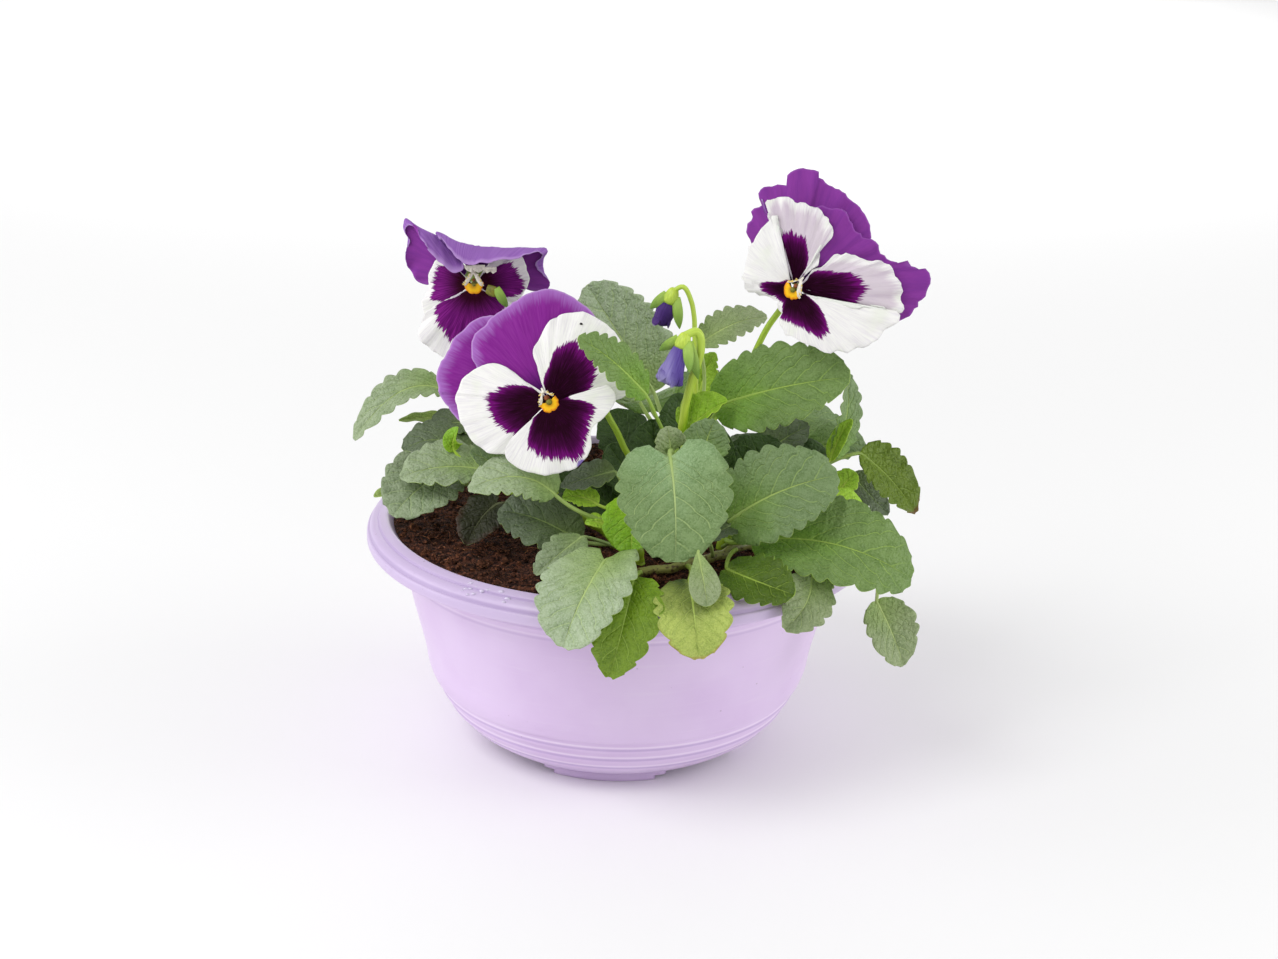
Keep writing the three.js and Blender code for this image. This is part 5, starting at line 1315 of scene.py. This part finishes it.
def add_bud(name, bud, stem, corolla_look, seed):
    top, tip = (np.array(p, float) for p in bud["corolla"])
    radius = bud["radius"]
    hang = unit(tip - top)
    collar = top - BUD_CALYX_LENGTH * hang
    start, _ = on_bark(stem, bud["at"], bud["stalk"][0], radius)
    stalk = Piece()
    path = stem_path(Curve([start, *bud["stalk"], collar]), TUBE_STEPS, seed, 0.2)
    add_tube(stalk, path, radius * (1 + 0.15 * np.linspace(1, 0, TUBE_STEPS) ** 4), 12)
    length = BUD_CALYX_LENGTH - 0.3
    cup = [*points("0.1 -1.5, 1.3 -1.3, 2.1 -0.6, 2.8 1"), [3.2, 0.5 * length],
           [3.15, 0.8 * length], [2.9, length], [0.1, length]]
    add_turned(stalk, cup, collar, hang, 20, 0, ribbed(0.07))
    for k, sepal in enumerate(bud["sepals"]):
        out = np.array(sepal, float) - collar
        out = unit(out - hang * (out @ hang))
        add_sepal(stalk, collar + 2 * hang + 2.4 * out, sepal, [0, -1, 0], 5.0, seed + k, 1)
    stalk.finish(name + "_stalk_look", [stem_lit, sepal_pale], name + "_stalk", "stem")
    corolla = Piece()
    far = np.linalg.norm(tip - top)
    reach, share = Curve(bud["swell"]).even(44).T
    profile = spots(np.maximum(reach, 0.05), share * far)
    wave = bud["wave"]

    def fluted(height, turn):
        share = np.clip(height / far, 0, 1)
        spin = turn + 1.6 * share
        waves = 0.6 * np.cos(4 * spin + 1) + 0.4 * np.cos(9 * spin)
        return 1 + wave * share * waves - 0.06 * share

    add_turned(corolla, profile, top, hang, 72, 0, fluted)
    wide = max(reach for reach, _ in bud["swell"])
    side = unit(np.cross(hang, [0.3, 0.2, 0.93]))
    other = np.cross(hang, side)
    for k in range(bud["lobes"]):
        turn = 2 * np.pi * k / bud["lobes"] + 0.4
        out = np.cos(turn) * side + np.sin(turn) * other
        root = top + 0.62 * far * hang + 0.78 * wide * out
        end = top + (0.98 + 0.05 * (k % 2)) * far * hang + (0.9 + 0.12 * (k % 3)) * wide * out
        add_sepal(corolla, root, end, out, 5.2, seed + 20 + k)
    corolla.finish(name + "_corolla_look", [corolla_look], name + "_corolla", "bud_petal")


# ---------------------------------------------------------------- bowl and soil


def round_spot(far, around, height):
    return np.array([far * math.cos(around), far * math.sin(around), height])


def add_pad(piece, middle, half, height):
    """A rounded foot pad, a stretch of a low ring under the bowl's base."""
    low, inner, outer = -height, PAD_INSIDE, PAD_OUTSIDE
    section = rounded([
        [inner, PAD_TOP], [inner, low + 0.5], [inner + 0.5, low], [outer - 0.5, low],
        [outer, low + 0.5], [outer, PAD_TOP],
    ], 1)
    turns = np.linspace(-half, half, 40)[:, None]
    inward = 0.4 * (1 - np.clip((half - np.abs(turns)) / 0.03, 0, 1) ** 0.5)
    radius = np.clip(section[:, 0], inner + inward, outer - inward)
    turns = middle + turns
    height = np.maximum(section[:, 1], low + inward)
    places = spots(radius * np.cos(turns), radius * np.sin(turns), height)
    rows, columns = places.shape[:2]
    last = (rows - 1) * columns
    k = np.arange(1, columns - 1)
    start = spots(0, k, k + 1, -1)
    end = spots(last, last + k + 1, last + k, -1)
    caps = np.stack([start, end], 1).reshape(-1, 4)
    piece.add(places, np.vstack([grid_faces(rows, columns, closed=True), caps]))


def build_bowl():
    turn = round_ring(BOWL_SIDES)
    profile = np.vstack([
        rounded(BOWL_UNDER, 1), *(rounded(p)[1:] for p in (BOWL_SIDE, BOWL_RIM, BOWL_INSIDE)),
    ])
    radius, height = profile[:, :1], profile[:, 1:]
    rings = spots(radius * np.cos(turn), radius * np.sin(turn), height)
    bowl = Piece()
    add_rings(bowl, rings, spots(0, 0, profile[[0, -1], 1]))
    thing = bowl.finish("bowl_look", [lilac], "bowl", "bowl_plastic")
    feet = Piece()
    for i in QUARTERS:
        middle = math.radians(FOOT_TURN + 90 * i)
        for wide, low in ((45, FOOT_HEIGHT), (55, FOOT_HEIGHT / 2)):
            add_pad(feet, middle, math.radians(wide) / 2, low)
    feet.finish("bowl_feet", [lilac], None, "bowl_plastic")
    drill = Piece()
    pin = [[0.01, 0], [HOLE_RADIUS, 0], [HOLE_RADIUS, 12], [0.01, 12]]
    for i in QUARTERS:
        start = round_spot(HOLE_CIRCLE, math.radians(45 + 90 * i), -6)
        add_turned(drill, pin, start, [0, 0, 1], 40)
    tool = drill.finish("drill", [], None, "bowl_plastic")
    cut = thing.modifiers.new("drain_holes", "BOOLEAN")
    cut.operation = "DIFFERENCE"
    cut.object = tool
    bpy.context.view_layer.update()
    solid = thing.evaluated_get(bpy.context.evaluated_depsgraph_get())
    pierced = bpy.data.meshes.new_from_object(solid)
    thing.modifiers.clear()
    thing.data = pierced
    bpy.data.objects.remove(tool)


def soil_level(radius):
    """The height of the soil's top, which is heaped a little against the wall."""
    return np.interp(radius, [0, 55, 78, 92, 98, 103], [101, 100.3, 99.6, 100.6, 101.6, 100.9])


def build_soil():
    random = np.random.default_rng(5)
    turn = round_ring(330)
    radius = SOIL_RADIUS * np.linspace(0, 1, 130)[:, None] ** 0.92
    x, y = radius * np.cos(turn), radius * np.sin(turn)
    plane = spots(x, y, 0)
    rough = 1.1 * noise(plane, 16, 1) + 0.9 * noise(plane, 6, 2) + 0.65 * noise(plane, 2.6, 3)
    rough = 0.8 * rough + 1.1 * np.abs(noise(plane, 3.4, 4)) - 0.3
    fade = np.clip((103 - radius) / 3, 0, 1)
    top = spots(x, y, soil_level(radius) - 0.6 + rough * (0.35 + 0.65 * fade))
    walls = [spots(far * np.cos(turn), far * np.sin(turn), height) for far, height in SOIL_WALL]
    rings = np.concatenate([top, walls])
    soil = Piece()
    soil.add(rings, grid_faces(*rings.shape[:2], closed=True)[:, ::-1])
    soil.finish("potting_soil_look", [soil_dark], "potting_soil", "potting_soil")
    crumbs = Piece()
    for _ in range(CRUMBS):
        far = 102 * math.sqrt(random.uniform(0.02, 1))
        around = random.uniform(0, 2 * np.pi)
        size = random.uniform(0.5, 1.15) * (1 + 1.8 * random.uniform() ** 3)
        centre = round_spot(far, around, soil_level(far) - 0.4 + random.uniform(-0.3, 0.6))
        if far + size <= 102.4:
            add_lump(crumbs, centre, size * random.uniform(0.6, 1.15, 3), random)
    crumbs.finish("soil_crumbs", [soil_crumb], None, "potting_soil")
    fibres = Piece()
    for _ in range(FIBRES):
        far = 99 * math.sqrt(random.uniform(0.02, 1))
        around = random.uniform(0, 2 * np.pi)
        length = random.uniform(3, 9)
        centre = round_spot(far, around, soil_level(far) + 0.5)
        heading = random.uniform(0, 2 * np.pi)
        ahead = round_spot(1, heading, random.uniform(-0.15, 0.25)) * length / 2
        bow = np.array([-ahead[1], ahead[0], 0]) * random.uniform(-0.5, 0.5)
        ends = [centre - ahead, centre + bow + [0, 0, 0.5], centre + ahead]
        if max(np.hypot(p[0], p[1]) for p in ends) <= 101.5:
            path = bezier(ends, np.linspace(0, 1, 9))[0]
            add_tube(fibres, path, random.uniform(0.12, 0.3), 4)
    fibres.finish("soil_fibres", [soil_fibre], None, "potting_soil")


def build_drops():
    """Water drops that lie on the rim near its front left."""
    random = np.random.default_rng(11)
    drops = Piece()
    for _ in range(DROPS):
        around = math.radians(random.uniform(-126, -112))
        far = random.uniform(107.2, 112.6)
        height = np.interp(far, [107.2, 109.3, 110.1, 112.2, 113.2], [103.1, 102.3, 101.1, 100.2, 99.2])
        size = random.uniform(0.4, 1.2) * np.array([1.2, 1.0, 0.5])
        add_lump(drops, round_spot(far, around, height - 0.1), size, random)
    drops.finish("water_drops", [water], None, "bowl_plastic")


# ---------------------------------------------------------------- materials

# A leaf's colours at its base and tip, of its veins and underside, and of its browned edge with how
# far in that reaches, how strong it is and the share along the blade where it begins.
TINTS = {
    "grey": ((112, 148, 58), (116, 140, 90), (166, 192, 102), (144, 172, 80), None),
    "sheen": ((132, 160, 86), (150, 167, 128), (176, 198, 120), (144, 172, 80), None),
    "heart": ((140, 170, 118), (122, 148, 92), (184, 206, 134), (144, 172, 80), None),
    # mist: a paler copy of sheen, painted light that lifts leaves lying in shade.
    "mist": ((146, 172, 100), (164, 182, 144), (184, 206, 132), (144, 172, 80), None),
    "green": ((108, 150, 42), (112, 140, 74), (160, 192, 84), (144, 176, 70), None),
    "fresh": ((124, 162, 24), (116, 146, 38), (172, 202, 92), (150, 182, 74), None),
    "dark": ((94, 114, 62), (98, 112, 84), (138, 160, 96), (128, 152, 76), None),
    "dusk": ((120, 142, 86), (136, 152, 116), (168, 188, 124), (132, 158, 84), None),
    # dirty: its dark base and tip are painted shade on a leaf lying in shadow on the soil; its brown edge
    # is its own.
    "dirty": ((36, 42, 16), (40, 42, 20), (84, 88, 58), (90, 96, 56), ((62, 40, 30), 3.2, 0.7, 0.2)),
    "bright": ((138, 184, 28), (122, 170, 34), (184, 214, 80), (158, 196, 48), None),
    "lit": ((164, 204, 56), (152, 194, 54), (198, 222, 96), (176, 210, 70), None),
    # yellow: its dark base is a painted shadow cast by the leaves above it; its brown edge is its own.
    "yellow": (
        (34, 56, 2), (172, 190, 92), (176, 198, 96), (150, 178, 66), ((172, 120, 60), 1.5, 0.45, 0.5),
    ),
    "olive": ((76, 108, 12), (78, 104, 20), (160, 188, 74), (138, 168, 58), None),
    "spotted": (
        (100, 126, 16), (92, 116, 16), (140, 166, 66), (118, 144, 54), ((96, 46, 24), 2.6, 0.9, 0.86),
    ),
    "pale": ((142, 166, 98), (142, 158, 112), (182, 202, 128), (158, 182, 98), None),
    "thin": ((158, 182, 88), (148, 172, 92), (196, 212, 128), (168, 190, 98), None),
    "deep": ((56, 84, 26), (60, 86, 36), (92, 120, 48), (78, 110, 40), None),
}
PETAL_KINDS = (
    "white_back", "violet_back", "white_plain", "white_magenta", "white_lilac", "violet_edged",
    "violet_deep",
)

leaf_looks = {
    tint: [
        leaf_shader("leaf_" + tint, base, tip, vein, shade),
        leaf_shader("leaf_under_" + tint, under, under, vein, None, True),
        stem_shader("petiole_" + tint, under, vein),
    ]
    for tint, (base, tip, vein, under, shade) in TINTS.items()
}
stem_green = stem_shader("stem_green", (150, 178, 44), (148, 180, 44))
# stem_lit: a lighter copy of stem_green, painted light on the stems that lie in the plant's shade.
stem_lit = stem_shader("stem_lit", (190, 214, 70), (184, 212, 78))
stem_aged = stem_shader("stem_aged", (122, 124, 70), (140, 142, 74), 0.85)
sepal_pale = stem_shader("sepal_pale", (166, 200, 84), (128, 168, 66))
stalk_looks = [
    stem_green,
    stem_shader("sepal_green", (140, 176, 66), (104, 140, 52)),
    plain_shader("stigma", (128, 126, 18), 0.5, (96, 96, 16), 900),
    throat_shader(),
    plain_shader("tufts", (244, 240, 224), 0.8, (222, 214, 204), 900),
    plain_shader("yellow_tufts", (244, 226, 140), 0.8, (240, 200, 84), 900),
    # The throat pit's dark red-brown is painted shade.
    plain_shader("throat_pit_shade", (112, 48, 14), 0.6, (146, 78, 20), 900),
]
petal_looks = {kind: petal_shader(kind) for kind in PETAL_KINDS}
petal_backs = {
    "white": [petal_looks["white_back"], plain_shader("speck", (30, 22, 30), 0.6)],
    "violet": [petal_looks["violet_back"]],
}
bud_looks = {
    "bud_upper": bud_shader("bud_violet", (66, 34, 112), (104, 66, 150), (58, 30, 96), 15),
    "bud_lower": bud_shader("bud_pale", (84, 58, 150), (174, 164, 222), (120, 104, 186), 21),
}
lilac = plastic_shader()
soil_dark = soil_shader("soil", (40, 20, 18), (150, 94, 70))
soil_crumb = soil_shader("soil_crumb", (60, 32, 26), (172, 112, 80))
soil_fibre = soil_shader("soil_fibre", (140, 80, 54), (196, 138, 98))
water = plain_shader("water", (206, 192, 222), 0.04, (214, 204, 230), 60, 1.0)

# ---------------------------------------------------------------- building

stems = {
    name: {"radius": radius, "curve": Curve(route)}
    for name, (radius, route, *_) in {**STEMS, **SHOOTS}.items()
}
barks = {"stem_lying": stem_aged, "stem_centre": stem_lit}

for seed, name in enumerate(STEMS):
    body, stem, steps = Piece(), stems[name], 110
    along = np.linspace(0, 1, steps)
    knots = 1 + 0.1 * np.abs(noise(spots(along * 9, seed, 0), 1.0, 3))
    swell = stem["radius"] * knots * (1.06 - 0.14 * along)
    add_tube(body, stem_path(stem["curve"], steps, seed, 0.4), swell, 16, ribs=0.05)
    body.finish(name + "_look", [barks.get(name, stem_green)], name, "stem")

for seed, (name, (radius, _, leaves)) in enumerate(SHOOTS.items()):
    body, curve, steps = Piece(), stems[name]["curve"], 90
    path = stem_path(curve, steps, seed + 40, 0.3)
    add_tube(body, path, radius * np.linspace(1.05, 0.9, steps), 14, 2)
    for k, (share, rib, width) in enumerate(leaves):
        leaf = {**LEAF, "lobe": 0.05, "teeth": 8, "rib": points(rib), "width": width}
        start = curve.at(share)[0]
        out = unit(np.array(leaf["rib"][0]) - start)
        add_leaf(body, leaf, start, out, 100 + 10 * seed + k, fine=0.75)
    body.finish(name + "_look", leaf_looks["grey"], name, "leaf")

for seed, row in enumerate(LEAVES.strip().splitlines()):
    name, row = row.split(";", 1)
    body, leaf = Piece(), read_leaf(row)
    start, out = on_bark(stems[leaf["on"]], leaf["at"], leaf["via"] or leaf["rib"][0], 1.0)
    add_leaf(body, leaf, start, out, seed + 1)
    slot = "young_leaf" if name in YOUNG_LEAVES else "leaf"
    body.finish(name + "_look", leaf_looks[leaf["tint"]], name, slot)

for group, rows in SMALL_LEAVES.items():
    leaves = [read_leaf(row) for row in rows.strip().splitlines()]
    tints = sorted({leaf["tint"] for leaf in leaves})
    body = Piece()
    for k, leaf in enumerate(leaves):
        start, out = on_bark(stems[leaf["on"]], leaf["at"], leaf["rib"][0], 0.6)
        first = 3 * tints.index(leaf["tint"])
        fine = 0.5 if leaf["tint"] == "deep" else 0.8
        add_leaf(body, leaf, start, out, 200 + k, (first, first + 1, first + 2), fine)
    body.finish(group, [look for tint in tints for look in leaf_looks[tint]], None, "leaf")

for seed, (name, flower) in enumerate(FLOWERS.items()):
    add_flower(name, flower, stems[flower["on"]], 300 + 20 * seed)

for seed, (name, bud) in enumerate(BUDS.items()):
    add_bud(name, bud, stems[bud["on"]], bud_looks[name], 400 + 30 * seed)

build_bowl()
build_soil()
build_drops()

# ---------------------------------------------------------------- floor, light and camera

FLOOR_SIZE = 12.0
FLOOR_COLOUR = (0.92, 0.92, 0.92, 1)
SKY_STRENGTH = 0.62
LIGHT_AIM = Vector((0, 0, 0.12))
CAMERA_EYE = Vector((0, -0.9212, 0.4491 + FOOT_HEIGHT * MM))
CAMERA_AIM = Vector((0.008, 0, 0.1184 + FOOT_HEIGHT * MM))
CAMERA_ROLL = math.radians(1.39)
CAMERA_LENS, CAMERA_SENSOR = 60.8, 36

bpy.ops.mesh.primitive_plane_add(size=FLOOR_SIZE, location=(0, 0, 0))
floor = bpy.context.object
floor.name = "floor"
floor_paint = bpy.data.materials.new("floor_paint")
floor_paint.use_nodes = True
paint = floor_paint.node_tree.nodes["Principled BSDF"]
paint.inputs["Base Color"].default_value = FLOOR_COLOUR
paint.inputs["Roughness"].default_value = 0.9
floor.data.materials.append(floor_paint)

world = bpy.data.worlds.new("studio")
world.use_nodes = True
sky = world.node_tree.nodes["Background"]
sky.inputs["Color"].default_value = (1.0, 1.0, 1.0, 1)
sky.inputs["Strength"].default_value = SKY_STRENGTH
bpy.context.scene.world = world


def add_light(name, place, size, watts):
    lamp = bpy.data.lights.new(name, "AREA")
    lamp.size = size
    lamp.energy = watts
    thing = bpy.data.objects.new(name, lamp)
    thing.location = place
    thing.rotation_euler = (LIGHT_AIM - Vector(place)).to_track_quat("-Z", "Y").to_euler()
    bpy.context.scene.collection.objects.link(thing)
    return thing


add_light("key", (-0.8, -0.8, 1.4), 0.8, 10)
add_light("left", (-1.5, 0.0, 0.5), 1.0, 7.2)
add_light("right", (1.5, -0.1, 0.5), 1.0, 10)
backdrop = add_light("backdrop", (0, 2.3, 0.8), 1.8, 16)
backdrop.rotation_euler = (0, 0, 0)
backdrop.visible_camera = False

ahead = (CAMERA_AIM - CAMERA_EYE).normalized()
level = ahead.cross(Vector((0, 0, 1))).normalized()
upright = level.cross(ahead)
cos, sin = math.cos(CAMERA_ROLL), math.sin(CAMERA_ROLL)
right, up = cos * level + sin * upright, cos * upright - sin * level
lens = bpy.data.cameras.new("camera")
lens.lens = CAMERA_LENS
lens.sensor_width = CAMERA_SENSOR
camera = bpy.data.objects.new("camera", lens)
turned = Matrix((right, up, -ahead)).transposed().to_4x4()
camera.matrix_world = Matrix.Translation(CAMERA_EYE) @ turned
bpy.context.scene.collection.objects.link(camera)
bpy.context.scene.camera = camera
bpy.context.scene.view_settings.view_transform = "Standard"
